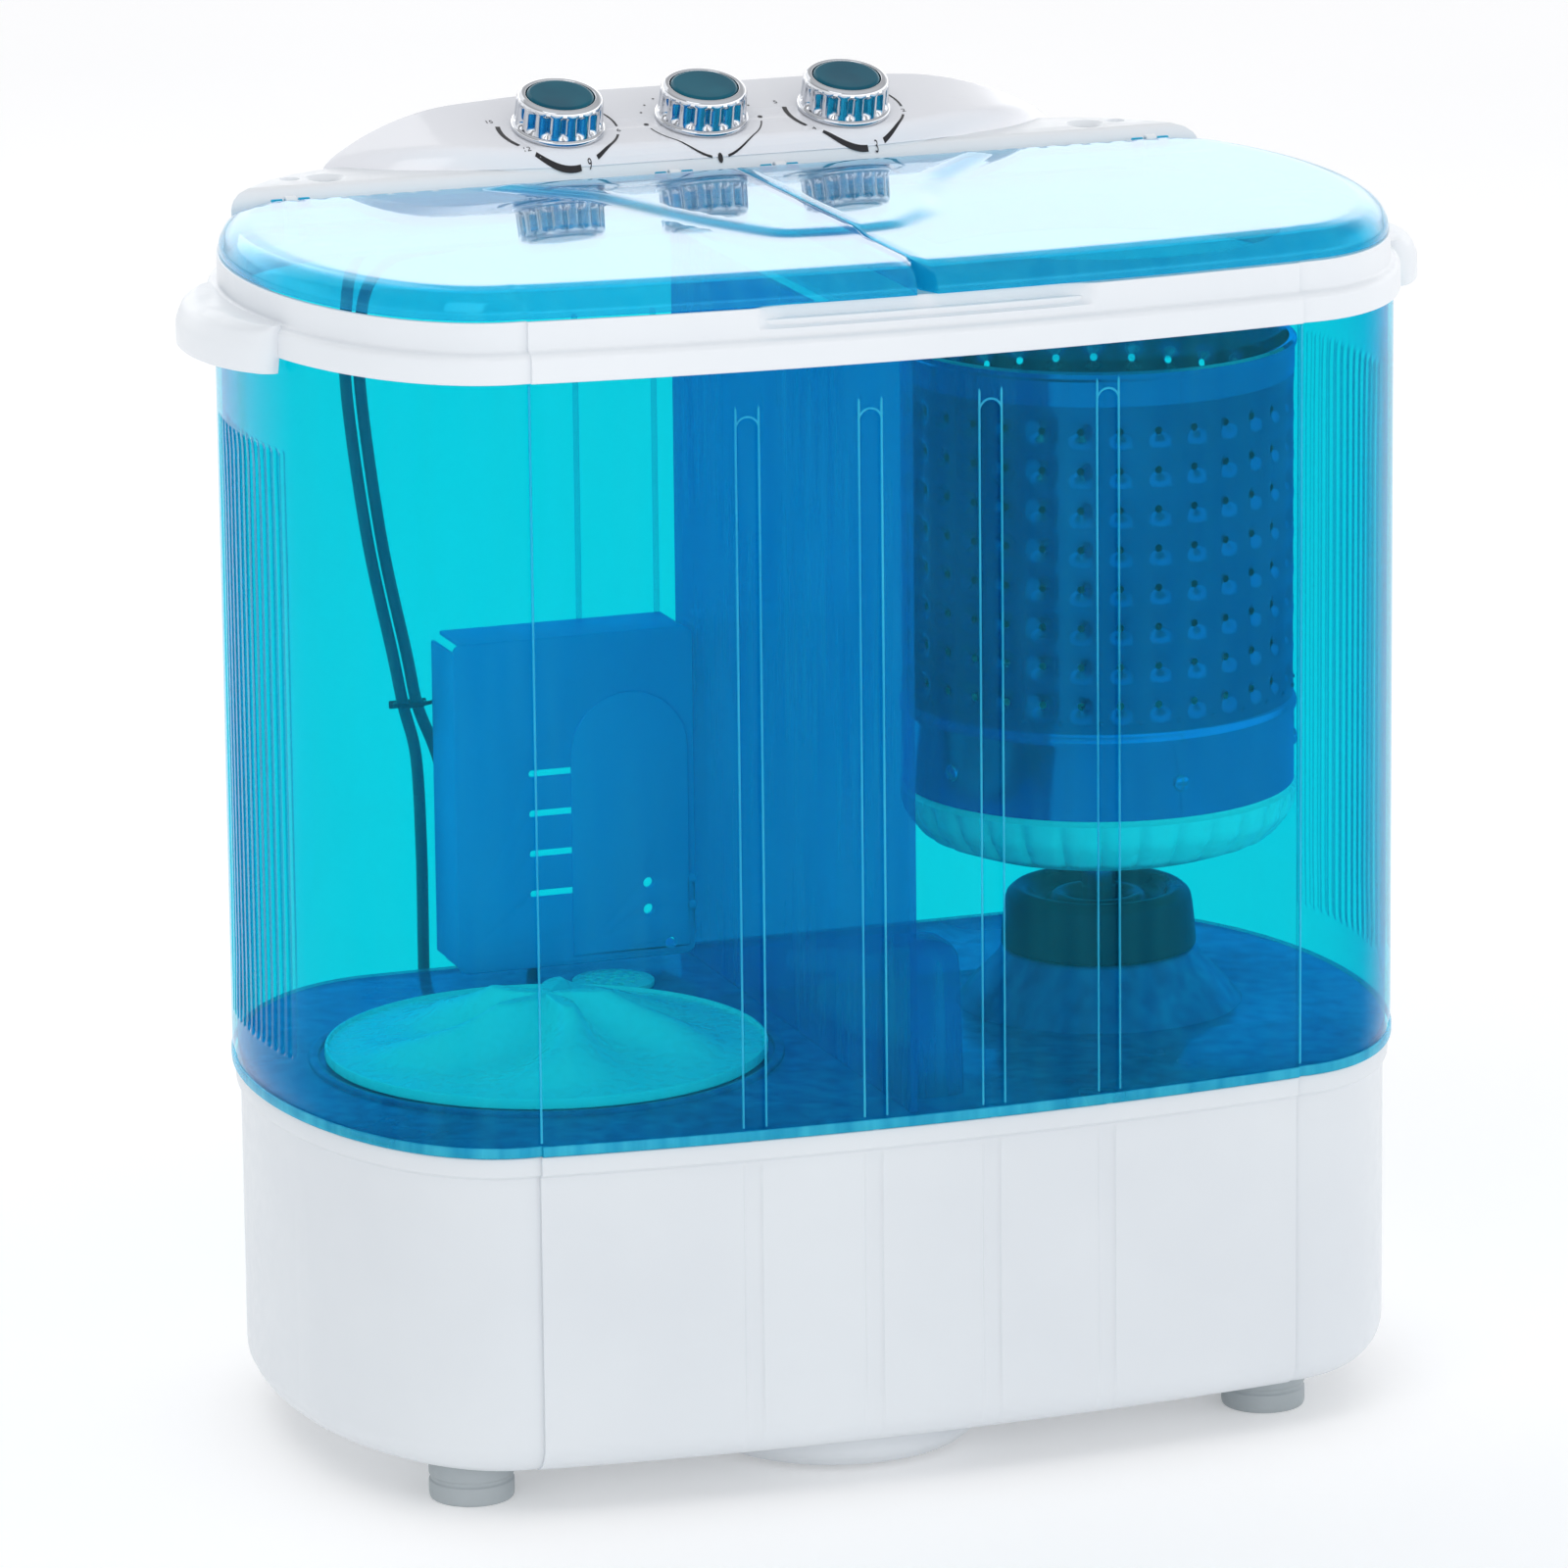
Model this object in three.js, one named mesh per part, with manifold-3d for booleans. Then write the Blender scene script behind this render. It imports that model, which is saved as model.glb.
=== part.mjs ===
// Compact twin tub washing machine: a wash tub and a spin dryer side by side in one clear blue shell.
// Millimetres, +Z up. The origin is on the floor under the middle of the machine, the front faces -Y,
// and the wash tub is on the -X side.
import * as THREE from 'three';
import { mergeVertices } from 'three/addons/utils/BufferGeometryUtils.js';
import Module from 'manifold-3d';

const wasm = await Module();
wasm.setup();

// ---- Driving dimensions ----

const GAP = 0.3; // seating or running gap between separate pieces
const WALL = 2.5; // moulded plastic wall

// The plan outline: a bowed front and a straight back, joined by round ends.
const BODY = {
  halfWidth: 250,
  frontFlat: 168, // half length of the bowed front
  rearFlat: 152, // half length of the straight back
  front: 141, // centre line to the front's ends
  rear: 152.5, // centre line to the back
  bow: 11, // how far the front's middle stands out
  centreY: -6.5, // the line that both tubs stand on
};
const BOW_STEPS = 4;
const CORNER_STEPS = 5;

const LEVEL = {
  boss: 2,
  base: 20,
  baseTop: 158.7,
  tub: 159,
  floorUnder: 160,
  floor: 163,
  rim: 483.3,
  tubTop: 486,
  rimStep: 493.7,
  deckUnder: 500,
  deck: 503,
  rimTop: 508.2,
  lid: 508.9,
  lidTop: 522.2,
};
const RIM_BAND = 3; // how far the rim's lower band stands outside the tub
const RIM_INSET = -1.5; // the rim's upper band, inside it

const WASH = { x: -120.3, pulsator: 94.5, shaft: 7, pulley: 45 };
const SPIN = { x: 132, basket: 85.7, shaft: 7.5, bottom: 260, top: 456 };
const DIVIDER = { left: -9, right: -6 };
const WASH_MOTOR = { x: -150, y: 92, radius: 42, pulley: 12, bottom: 90, top: 150 };
const BELT_LEVEL = { bottom: 70, top: 84 };
const SPIN_MOTOR = { radius: 52, top: 118 };
const MOTOR_MOUNT = { circle: 38, top: 48 };
const BRAKE = { drum: 46, bottom: 124, top: 142, pivotX: 64, pivotY: 30, post: 4 };
const VALVE = { x: -58, y: 90, radius: 24, bottom: 112, seat: 137.7, disc: 18, rod: 4, mouth: 14 };
const SPIN_DRAIN = { x: 60, y: 95, radius: 9 };
const DRAIN_OUTLET = { x: 12, level: 124 };

const PANEL = { tilt: THREE.MathUtils.degToRad(16.5), y: 126, level: 537.3, front: 98.5, rear: 161.5 };

// Half of the panel's plan, from the middle of its front edge round to the middle of its rear edge.
const CONSOLE = [
  [70, 98.5], [100, 103], [125, 110], [142, 117], [158, 128], [170, 139], [170, 143.5], [148, 148.5],
  [130, 152], [110, 156], [78, 160.6], [60, 161.5],
];
const CONSOLE_CENTRE = 130;
// How far the panel's face lies below its own middle line, at distances from that line.
const PANEL_ARCH = [[80, 0], [110, 0.3], [130, 2.5], [148, 7.7], [167, 16.2], [186, 28], [300, 110]];

const OVERLAY_THICKNESS = 0.8;
const OVERLAY_MARGIN = 2.6;
const SHOULDER = 525;
const KNOB = { spacing: 65.5, flange: 20.6, body: 19.5, height: 16, cap: 14.7, stem: 3 };

const HINGE = { y: 93, level: 519, barrel: 3, barrelHalf: 5, peg: 1.5, ear: 3.2, earHalf: 2.5 };
const HINGE_STATIONS = { outer: 196, inner: 24 };
const LID_REAR = 89.4;
const LID_SEAM = 0.5;

const PANEL_SCREWS = [{ x: -174, y: 115 }, { x: 174, y: 115 }];
const PANEL_SCREW = { shank: 2, head: 4.6, recess: 5.5, seat: 518 };
const FOOT = { radius: 18, stud: 5, spacingX: 179, shiftX: -6, front: -95, rear: 95 };
const CENTRE_BOSS = { x: -14, y: -69, radius: 63 };
const BASKET_SCREWS = { count: 5, start: -158.8, level: 277, radius: 2 };
const LEAD_RADIUS = 2.6;
const LEAD_EXITS = { x: [-90, -77.7], y: 153.4 };

// ---- Materials ----

const plastic = (color, roughness) => new THREE.MeshStandardMaterial({ color, roughness, metalness: 0 });
const metal = (color, roughness) => new THREE.MeshStandardMaterial({ color, roughness, metalness: 1 });
const clearBlue = (opacity) => new THREE.MeshStandardMaterial({
  color: 0x08a8d8, roughness: 0.12, metalness: 0, transparent: true, opacity,
});

const MATERIAL = {
  white: plastic(0xe9edf0, 0.35),
  innerWhite: plastic(0xe4eef2, 0.4),
  overlay: plastic(0xdedee8, 0.2),
  tub: clearBlue(0.45),
  lid: clearBlue(0.4),
  cover: plastic(0x0a86cc, 0.3),
  cap: plastic(0x1f8ba3, 0.15),
  rubber: plastic(0x12181c, 0.7),
  foot: plastic(0xc9ced2, 0.6),
  lead: plastic(0x23343c, 0.6),
  chrome: metal(0xd9dde0, 0.12),
  steel: metal(0xb9bfc2, 0.3),
  castIron: metal(0x6d7276, 0.6),
  motor: plastic(0x3c4247, 0.5),
};

// ---- Geometry helpers ----

// Keeps positions only, welds them, drops empty faces and turns the faces outwards.
function closed(geometry) {
  const bare = new THREE.BufferGeometry();
  bare.setAttribute('position', geometry.getAttribute('position'));
  if (geometry.index) bare.setIndex(geometry.index);
  const welded = mergeVertices(bare, 1e-4);
  const index = welded.index.array;
  const position = welded.getAttribute('position');
  const corner = [0, 1, 2].map(() => new THREE.Vector3());
  const faces = [];
  let volume = 0;
  for (let i = 0; i < index.length; i += 3) {
    const face = [index[i], index[i + 1], index[i + 2]];
    if (new Set(face).size < 3) continue;
    face.forEach((vertex, k) => corner[k].fromBufferAttribute(position, vertex));
    volume += corner[0].dot(corner[1].cross(corner[2]));
    faces.push(face);
  }
  welded.setIndex(faces.flatMap(([a, b, c]) => (volume > 0 ? [a, b, c] : [a, c, b])));
  return welded;
}

function toSolid(geometry) {
  const shell = closed(geometry);
  const vertProperties = Float32Array.from(shell.getAttribute('position').array);
  const triVerts = Uint32Array.from(shell.index.array);
  return new wasm.Manifold(new wasm.Mesh({ numProp: 3, vertProperties, triVerts }));
}

function toGeometry(solid) {
  const mesh = solid.getMesh();
  const geometry = new THREE.BufferGeometry();
  geometry.setAttribute('position', new THREE.BufferAttribute(mesh.vertProperties, 3));
  geometry.setIndex(new THREE.BufferAttribute(mesh.triVerts, 1));
  return geometry;
}

const combine = (operation) => (first, ...others) => {
  const start = toSolid(first);
  return toGeometry(others.reduce((solid, other) => solid[operation](toSolid(other)), start));
};
const cut = combine('subtract');
const join = combine('add');
const common = combine('intersect');

function box(x0, x1, y0, y1, z0, z1) {
  return new THREE.BoxGeometry(x1 - x0, y1 - y0, z1 - z0)
    .translate((x0 + x1) / 2, (y0 + y1) / 2, (z0 + z1) / 2);
}

// A solid of revolution about +Z through (x, y), from a profile of [radius, level] points.
function lathe(profile, segments = 20, x = 0, y = 0) {
  const points = profile.map(([radius, level]) => new THREE.Vector2(radius, level));
  return closed(new THREE.LatheGeometry(points, segments).rotateX(Math.PI / 2).translate(x, y, 0));
}

const cylinder = (radius, z0, z1, x = 0, y = 0, segments = 20) => (
  lathe([[0, z0], [radius, z0], [radius, z1], [0, z1]], segments, x, y));

// A ring of revolution about +Z: the same profile, closed on itself.
const ring = (profile, segments = 20, x = 0, y = 0) => lathe([...profile, profile[0]], segments, x, y);

const prism = (points, z0, z1, holes = []) => {
  const shape = new THREE.Shape(points);
  shape.holes.push(...holes);
  return closed(new THREE.ExtrudeGeometry(shape, { depth: z1 - z0, bevelEnabled: false, curveSegments: 5 })
    .translate(0, 0, z0));
};

// A round bar or tube that follows a smooth curve through the given points.
function cable(points, radius, steps, sides = 8) {
  const route = new THREE.CatmullRomCurve3(points.map((point) => new THREE.Vector3(...point)));
  const section = new THREE.Shape(Array.from({ length: sides }, (_, i) => {
    const turn = (2 * Math.PI * i) / sides;
    return new THREE.Vector2(radius * Math.cos(turn), radius * Math.sin(turn));
  }));
  return closed(new THREE.ExtrudeGeometry(section, { steps, extrudePath: route, bevelEnabled: false }));
}

// A quarter of a rounded corner, from the angle start onwards, with or without its last point.
function corner(centreX, radiusX, radiusY, start, extra = 0) {
  return Array.from({ length: CORNER_STEPS + extra }, (_, i) => {
    const angle = start + (Math.PI / 2) * (i / CORNER_STEPS);
    return new THREE.Vector2(centreX + radiusX * Math.cos(angle), BODY.centreY + radiusY * Math.sin(angle));
  });
}

// The machine's plan outline, moved outwards by an offset, anticlockwise from the front left.
function outline(offset) {
  const bowed = Array.from({ length: BOW_STEPS }, (_, i) => {
    const along = (2 * i) / BOW_STEPS - 1;
    const y = BODY.centreY - BODY.front - offset - BODY.bow * (1 - along * along);
    return new THREE.Vector2(along * BODY.frontFlat, y);
  });
  const frontEnd = BODY.halfWidth - BODY.frontFlat + offset;
  const rearEnd = BODY.halfWidth - BODY.rearFlat + offset;
  return [
    ...bowed,
    ...corner(BODY.frontFlat, frontEnd, BODY.front + offset, -Math.PI / 2),
    ...corner(BODY.rearFlat, rearEnd, BODY.rear + offset, 0, 1),
    ...corner(-BODY.rearFlat, rearEnd, BODY.rear + offset, Math.PI / 2),
    ...corner(-BODY.frontFlat, frontEnd, BODY.front + offset, Math.PI),
  ];
}

// A solid whose plan is the outline, given as [offset, level] steps from the bottom up.
function stack(levels) {
  const rings = levels.map(([offset, level]) => outline(offset).map((p) => [p.x, p.y, level]));
  const count = rings[0].length;
  const vertices = rings.flat();
  const low = vertices.push([0, BODY.centreY, levels[0][1]]) - 1;
  const high = vertices.push([0, BODY.centreY, levels.at(-1)[1]]) - 1;
  const faces = [];
  for (let i = 0; i < count; i += 1) {
    const next = (i + 1) % count;
    for (let level = 0; level < rings.length - 1; level += 1) {
      const a = level * count;
      faces.push(a + i, a + next, a + count + next, a + i, a + count + next, a + count + i);
    }
    const top = (rings.length - 1) * count;
    faces.push(low, next, i, high, top + i, top + next);
  }
  const geometry = new THREE.BufferGeometry();
  geometry.setAttribute('position', new THREE.Float32BufferAttribute(vertices.flat(), 3));
  geometry.setIndex(faces);
  return geometry;
}

const machine = new THREE.Group();

function add(name, geometry, material, parent = machine, x = 0) {
  const mesh = new THREE.Mesh(closed(geometry), material);
  mesh.name = name;
  mesh.position.x = x;
  parent.add(mesh);
  return mesh;
}

// ---- Base ----

const BASE_OFFSET = -3.4; // the base wall stands inside the tub's outline
const BASE_EDGE = 14; // radius of the rounded bottom edge
const BASE_LIP = { offset: -1.3, bottom: 150.5 }; // the thicker top edge that the tub sits on
const COVER_OFFSET = BASE_OFFSET - BASE_EDGE - 7;
const LEAD_ENTRY = { washX: -126, spinX: -72, level: 132, radius: 6 };
const GLAND = { x: 150, level: 60 };

function baseHousing() {
  const edge = (inset) => [0, 45, 90].map((degrees) => {
    const angle = THREE.MathUtils.degToRad(degrees);
    const radius = BASE_EDGE - inset;
    return [
      BASE_OFFSET - BASE_EDGE + radius * Math.sin(angle),
      LEVEL.base + BASE_EDGE - radius * Math.cos(angle),
    ];
  });
  const outer = stack([
    ...edge(0), [BASE_OFFSET, BASE_LIP.bottom - 1.5], [BASE_LIP.offset, BASE_LIP.bottom],
    [BASE_LIP.offset, LEVEL.baseTop],
  ]);
  const inner = stack([...edge(WALL), [BASE_OFFSET - WALL, LEVEL.baseTop + 1]]);
  const coverSeat = stack([[COVER_OFFSET, LEVEL.base - 1], [COVER_OFFSET, LEVEL.base + WALL + 1]]);
  const rearHole = (radius, x, level) => (
    cylinder(radius, -170, -120).rotateX(Math.PI / 2).translate(x, 0, level));
  return cut(
    outer, inner, coverSeat,
    rearHole(11, DRAIN_OUTLET.x, DRAIN_OUTLET.level),
    rearHole(7, GLAND.x, GLAND.level),
    rearHole(LEAD_ENTRY.radius, LEAD_ENTRY.washX, LEAD_ENTRY.level),
    rearHole(LEAD_ENTRY.radius, LEAD_ENTRY.spinX, LEAD_ENTRY.level),
  );
}

const feet = [-1, 1].flatMap((side) => [FOOT.front, FOOT.rear].map((y) => (
  { x: FOOT.shiftX + side * FOOT.spacingX, y })));

function bottomCover() {
  const { x, y, radius } = CENTRE_BOSS;
  const plate = stack([[COVER_OFFSET - GAP, LEVEL.base + GAP], [COVER_OFFSET - GAP, LEVEL.base + WALL]]);
  const cup = (inset, top) => lathe([
    [0, LEVEL.boss + inset], [radius - 7, LEVEL.boss + inset], [radius - inset, LEVEL.boss + 7],
    [radius - inset, top], [0, top],
  ], 20, x, y);
  const footHoles = feet.map((foot) => (
    cylinder(FOOT.stud + GAP, LEVEL.base - 1, LEVEL.base + 5, foot.x, foot.y, 10)));
  const top = LEVEL.base + WALL;
  return cut(join(plate, cup(0, top)), cup(WALL, top + 1), ...footHoles);
}

add('base_housing', baseHousing(), MATERIAL.white);
add('bottom_cover', bottomCover(), MATERIAL.white);

const footNames = ['foot_front_left', 'foot_rear_left', 'foot_front_right', 'foot_rear_right'];
feet.forEach(({ x, y }, i) => {
  const top = LEVEL.base - GAP;
  const profile = [
    [0, 0], [FOOT.radius - 2, 0], [FOOT.radius, 2], [FOOT.radius, top], [FOOT.stud, top],
    [FOOT.stud, top + 8], [0, top + 8],
  ];
  add(footNames[i], lathe(profile, 12, x, y), MATERIAL.foot);
});

add('cord_gland', ring([[4, 0], [9, 0], [9, 3], [6.7, 3], [6.7, 12], [4, 12]], 12)
  .rotateX(Math.PI / 2).translate(GLAND.x, 145.9, GLAND.level), MATERIAL.rubber);

// ---- Tubs ----

const CONE = { foot: 63, waist: 57, top: 43, level: 187, bore: 14 }; // the spin shaft's passage
const DRAIN_CHAMBER = { right: 25, front: -135, back: -95, top: 228 };

function tubBody() {
  const inside = stack([[-WALL, LEVEL.floor], [-WALL, LEVEL.tubTop + 1]]);
  const washSide = box(-300, DIVIDER.left, -200, 200, LEVEL.tub, 600);
  const spinSide = box(DIVIDER.right, 300, -200, 200, LEVEL.tub, 600);
  const cone = (inset, foot) => lathe([
    [0, foot], [CONE.foot - inset, foot], [CONE.foot - inset, LEVEL.floor - 1],
    [CONE.waist - inset, LEVEL.floor + 6], [CONE.top - inset, CONE.level - inset], [0, CONE.level - inset],
  ], 18, SPIN.x, BODY.centreY);
  const chamber = (inset, bottom) => box(
    DIVIDER.left + inset, DRAIN_CHAMBER.right - inset,
    DRAIN_CHAMBER.front + inset, DRAIN_CHAMBER.back - inset, bottom, DRAIN_CHAMBER.top - inset);
  const shell = cut(
    stack([[0, LEVEL.tub], [0, LEVEL.tubTop]]),
    stack([[-WALL, LEVEL.tub - 1], [-WALL, LEVEL.floorUnder]]),
    common(inside, washSide),
    common(inside, spinSide),
  );
  const floorHole = (radius, x, y) => cylinder(radius, LEVEL.tub, LEVEL.floor + 5, x, y);
  return cut(
    join(shell, cone(0, LEVEL.floorUnder), chamber(0, LEVEL.floorUnder)),
    cone(WALL, LEVEL.floorUnder - 1),
    chamber(WALL, LEVEL.floorUnder - 1),
    cylinder(CONE.bore, CONE.level - 5, CONE.level + 5, SPIN.x, BODY.centreY),
    floorHole(WASH.shaft + 2, WASH.x, BODY.centreY),
    floorHole(VALVE.mouth - 1, VALVE.x, VALVE.y),
    floorHole(SPIN_DRAIN.radius, SPIN_DRAIN.x, SPIN_DRAIN.y),
  );
}

add('tub_body', tubBody(), MATERIAL.tub);

const FILTER_COVER = { left: -122, right: -12, front: 112, bottom: 168, top: 316 };
const FILTER_SLOTS = { left: -86, right: -66, bottom: 200, pitch: 18, height: 3, count: 4 };

// The cover of the overflow channel on the wash tub's back wall, open at the back, with flow slots.
function overflowFilterCover() {
  const back = BODY.centreY + BODY.rear - WALL - GAP;
  const { left, right, front, bottom, top } = FILTER_COVER;
  const slots = Array.from({ length: FILTER_SLOTS.count }, (_, row) => {
    const low = FILTER_SLOTS.bottom + FILTER_SLOTS.pitch * row;
    return box(FILTER_SLOTS.left, FILTER_SLOTS.right, front - 1, front + 4, low, low + FILTER_SLOTS.height);
  });
  return cut(
    box(left, right, front, back, bottom, top),
    box(left + 2, right - 2, front + 2, back + 1, bottom + 2, top - 2),
    ...slots,
  );
}

add('overflow_filter_cover', overflowFilterCover(), MATERIAL.cover);
add('drain_grate', lathe([
  [0, LEVEL.floor + GAP], [18, LEVEL.floor + GAP], [18, LEVEL.floor + 2.5], [0, LEVEL.floor + 4],
], 16, VALVE.x, VALVE.y), MATERIAL.innerWhite);

// ---- Top frame and carry grips ----

const SPIN_MOUTH = 79;
const SPIN_COLLAR_BOTTOM = 460;
const WASH_MOUTH = { inset: -14, right: -26, rear: 84 };
const LID_NOTCH = { halfWidth: 75, back: -148, bottom: 501.5 }; // the finger recess under the lids' front

function topFrame() {
  const mouth = stack([[WASH_MOUTH.inset, LEVEL.deckUnder - 1], [WASH_MOUTH.inset, LEVEL.deck + 1]]);
  const washMouth = common(mouth, box(-300, WASH_MOUTH.right, -200, WASH_MOUTH.rear, 400, 600));
  const collar = cylinder(SPIN_MOUTH + WALL, SPIN_COLLAR_BOTTOM, LEVEL.deck, SPIN.x, BODY.centreY, 24);
  const shell = cut(
    join(
      stack([[RIM_BAND, LEVEL.rim], [RIM_BAND, LEVEL.rimStep]]),
      stack([[RIM_INSET, LEVEL.rimStep - 2], [RIM_INSET, LEVEL.rimTop]]),
    ),
    stack([[GAP, LEVEL.rim - 1], [GAP, LEVEL.tubTop + 1]]),
    stack([[RIM_INSET - 3, LEVEL.tubTop], [RIM_INSET - 3, LEVEL.deckUnder]]),
    stack([[RIM_INSET - 3, LEVEL.deck], [RIM_INSET - 3, LEVEL.rimTop + 1]]),
  );
  const stations = [-1, 1].flatMap((side) => Object.values(HINGE_STATIONS).map((x) => side * x));
  const acrossAt = (x, radius, half, segments) => (
    cylinder(radius, -half, half, 0, 0, segments).rotateY(Math.PI / 2).translate(x, HINGE.y, HINGE.level));
  const notch = box(
    -LID_NOTCH.halfWidth, LID_NOTCH.halfWidth, -200, LID_NOTCH.back, LID_NOTCH.bottom, LEVEL.rimTop + 1);
  const { ear, earHalf, y: hingeY } = HINGE;
  const ears = stations.map((x) => join(
    box(x - earHalf, x + earHalf, hingeY - ear, hingeY + ear, LEVEL.deck - 1, HINGE.level),
    acrossAt(x, ear, earHalf, 10),
  ));
  const pegHoles = stations.map((x) => acrossAt(x, HINGE.peg + GAP, earHalf + 1.5, 8));
  return cut(
    join(shell, collar, ...ears),
    washMouth,
    notch,
    cylinder(SPIN_MOUTH, SPIN_COLLAR_BOTTOM - 1, LEVEL.deck + 1, SPIN.x, BODY.centreY, 24),
    ...pegHoles,
    ...PANEL_SCREWS.map(({ x, y }) => (
      cylinder(PANEL_SCREW.shank + GAP, LEVEL.deckUnder - 1, LEVEL.deck + 1, x, y, 10))),
  );
}

add('top_frame', topFrame(), MATERIAL.white);

// A hooked ledge round one end of the rim: its profile is [distance outside the tub, level].
const GRIP = { lip: 477, top: 497, reach: 22, root: RIM_INSET + GAP };
const GRIP_OUTER = [[GRIP.reach, GRIP.lip], [GRIP.reach, 487.5], [18.4, 494.5], [12, GRIP.top]];
const GRIP_PROFILE = [
  [GRIP.root, 494], [11.2, 494], [16.4, 491.5], [19.2, 486], [19.2, GRIP.lip],
  ...GRIP_OUTER, [GRIP.root, GRIP.top],
];
const GRIP_REACH = THREE.MathUtils.degToRad(21);
const GRIP_STEPS = 8;
const GRIP_INNER = RIM_BAND + GAP;

// A grip is a crescent in plan: it stands out less and less towards both of its ends.
const gripDistance = (distance, angle) => {
  const share = Math.sqrt(Math.max(0.16, 1 - (angle / GRIP_REACH) ** 2));
  return distance > GRIP_INNER ? GRIP_INNER + (distance - GRIP_INNER) * share : distance;
};

function carryGrip() {
  const point = (full, level, angle) => {
    const distance = gripDistance(full, angle);
    return [
      BODY.frontFlat + (BODY.halfWidth - BODY.frontFlat + distance) * Math.cos(angle),
      BODY.centreY + (BODY.front + distance) * Math.sin(angle),
      level,
    ];
  };
  const sweep = (profile, from, to, steps) => {
    const vertices = [];
    const faces = [];
    const count = profile.length;
    for (let i = 0; i <= steps; i += 1) {
      const angle = from + ((to - from) * i) / steps;
      profile.forEach(([distance, level]) => vertices.push(...point(distance, level, angle)));
    }
    for (let i = 0; i < steps; i += 1) {
      for (let k = 0; k < count; k += 1) {
        const a = i * count + k;
        const b = i * count + ((k + 1) % count);
        faces.push(a, b, b + count, a, b + count, a + count);
      }
    }
    const ends = THREE.ShapeUtils.triangulateShape(profile.map(([u, v]) => new THREE.Vector2(u, v)), []);
    for (const [a, b, c] of ends) {
      const last = steps * count;
      faces.push(a, c, b, last + a, last + b, last + c);
    }
    const geometry = new THREE.BufferGeometry();
    geometry.setAttribute('position', new THREE.Float32BufferAttribute(vertices, 3));
    geometry.setIndex(faces);
    return geometry;
  };
  const plug = [[GRIP_INNER, GRIP.lip], ...GRIP_OUTER, [GRIP_INNER, GRIP.top]];
  const wall = GRIP_REACH * 0.08;
  return join(
    sweep(GRIP_PROFILE, -GRIP_REACH, GRIP_REACH, GRIP_STEPS),
    sweep(plug, -GRIP_REACH, wall - GRIP_REACH, 1),
    sweep(plug, GRIP_REACH - wall, GRIP_REACH, 1),
  );
}

add('carry_grip_right', carryGrip(), MATERIAL.white);
add('carry_grip_left', carryGrip().scale(-1, 1, 1), MATERIAL.white);

// ---- Control panel ----

// Everything on the sloping panel is placed from the middle of its face, along its own axes.
const panelFace = new THREE.Group();
panelFace.position.set(0, PANEL.y, PANEL.level);
panelFace.rotation.x = PANEL.tilt;
machine.add(panelFace);

const KNOBS = [
  { name: 'wash_timer', x: -KNOB.spacing },
  { name: 'selector', x: 0 },
  { name: 'spin_timer', x: KNOB.spacing },
];

// The console's plan: straight behind, with long sloping sides.
// Draws the panel's plan in by a distance at its sides, its front and its rear.
function consolePlan(inset) {
  const [width, depth] = [CONSOLE[5][0], PANEL.rear - CONSOLE_CENTRE];
  const side = CONSOLE.map(([x, y]) => new THREE.Vector2(
    x * (1 - inset / width), CONSOLE_CENTRE + (y - CONSOLE_CENTRE) * (1 - inset / depth)));
  return [...side, ...side.map((p) => new THREE.Vector2(-p.x, p.y)).reverse()];
}

// Everything below the sloping and arched face, lowered by a depth measured square to it.
function underFace(depth) {
  const half = PANEL_ARCH.map(([x, drop]) => new THREE.Vector2(x, -drop));
  const across = half.map((p) => new THREE.Vector2(-p.x, p.y)).reverse();
  const foot = [new THREE.Vector2(300, -260), new THREE.Vector2(-300, -260)];
  return prism([...across, ...half, ...foot], -200, 200)
    .rotateX(Math.PI / 2)
    .translate(0, 0, -depth)
    .rotateX(PANEL.tilt)
    .translate(0, PANEL.y, PANEL.level);
}

function controlPanel() {
  const bottom = LEVEL.rimTop + GAP;
  const skin = OVERLAY_THICKNESS + GAP;
  const behind = (y) => box(-300, 300, y, 300, 400, 600);
  const hump = common(prism(consolePlan(0), bottom, 600), underFace(skin));
  const humpHollow = common(
    prism(consolePlan(WALL), bottom + WALL, 600), underFace(skin + WALL), behind(PANEL.front + WALL));
  const shoulder = common(stack([[-2, bottom], [-2, 519], [-5, 523.5], [-9, SHOULDER]]), behind(PANEL.front));
  const shoulderHollow = common(
    stack([[-4.6, bottom - 1], [-4.6, 518], [-8, 522.3]]), behind(PANEL.front + WALL));
  const bosses = PANEL_SCREWS.map(({ x, y }) => cylinder(8, bottom, 524, x, y, 12));
  const screwBore = PANEL_SCREW.shank + GAP;
  const screwHoles = PANEL_SCREWS.map(({ x, y }) => lathe([
    [0, bottom - 1], [screwBore, bottom - 1], [screwBore, PANEL_SCREW.seat],
    [PANEL_SCREW.recess, PANEL_SCREW.seat], [PANEL_SCREW.recess, 530], [0, 530],
  ], 12, x, y));
  const stemHoles = KNOBS.map(({ x }) => cylinder(KNOB.stem + 2, -10, 10, 0, 0, 12)
    .rotateX(PANEL.tilt).translate(x, PANEL.y, PANEL.level));
  const leadHoles = LEAD_EXITS.x.map((x) => (
    cylinder(LEAD_RADIUS + 1.6, bottom - 2, bottom + 5, x, LEAD_EXITS.y, 10)));
  return cut(
    join(cut(join(hump, shoulder), humpHollow, shoulderHollow), ...bosses),
    ...screwHoles,
    ...stemHoles,
    ...leadHoles,
  );
}

add('control_panel', controlPanel(), MATERIAL.white);

PANEL_SCREWS.forEach(({ x, y }, i) => {
  const { shank, head } = PANEL_SCREW;
  const seat = PANEL_SCREW.seat + GAP;
  const profile = [
    [0, 490], [shank, 490], [shank, seat], [head, seat], [head - 0.2, seat + 1.7], [0, seat + 2.7],
  ];
  add(['panel_screw_left', 'panel_screw_right'][i], lathe(profile, 10, x, y), MATERIAL.steel);
});

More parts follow.
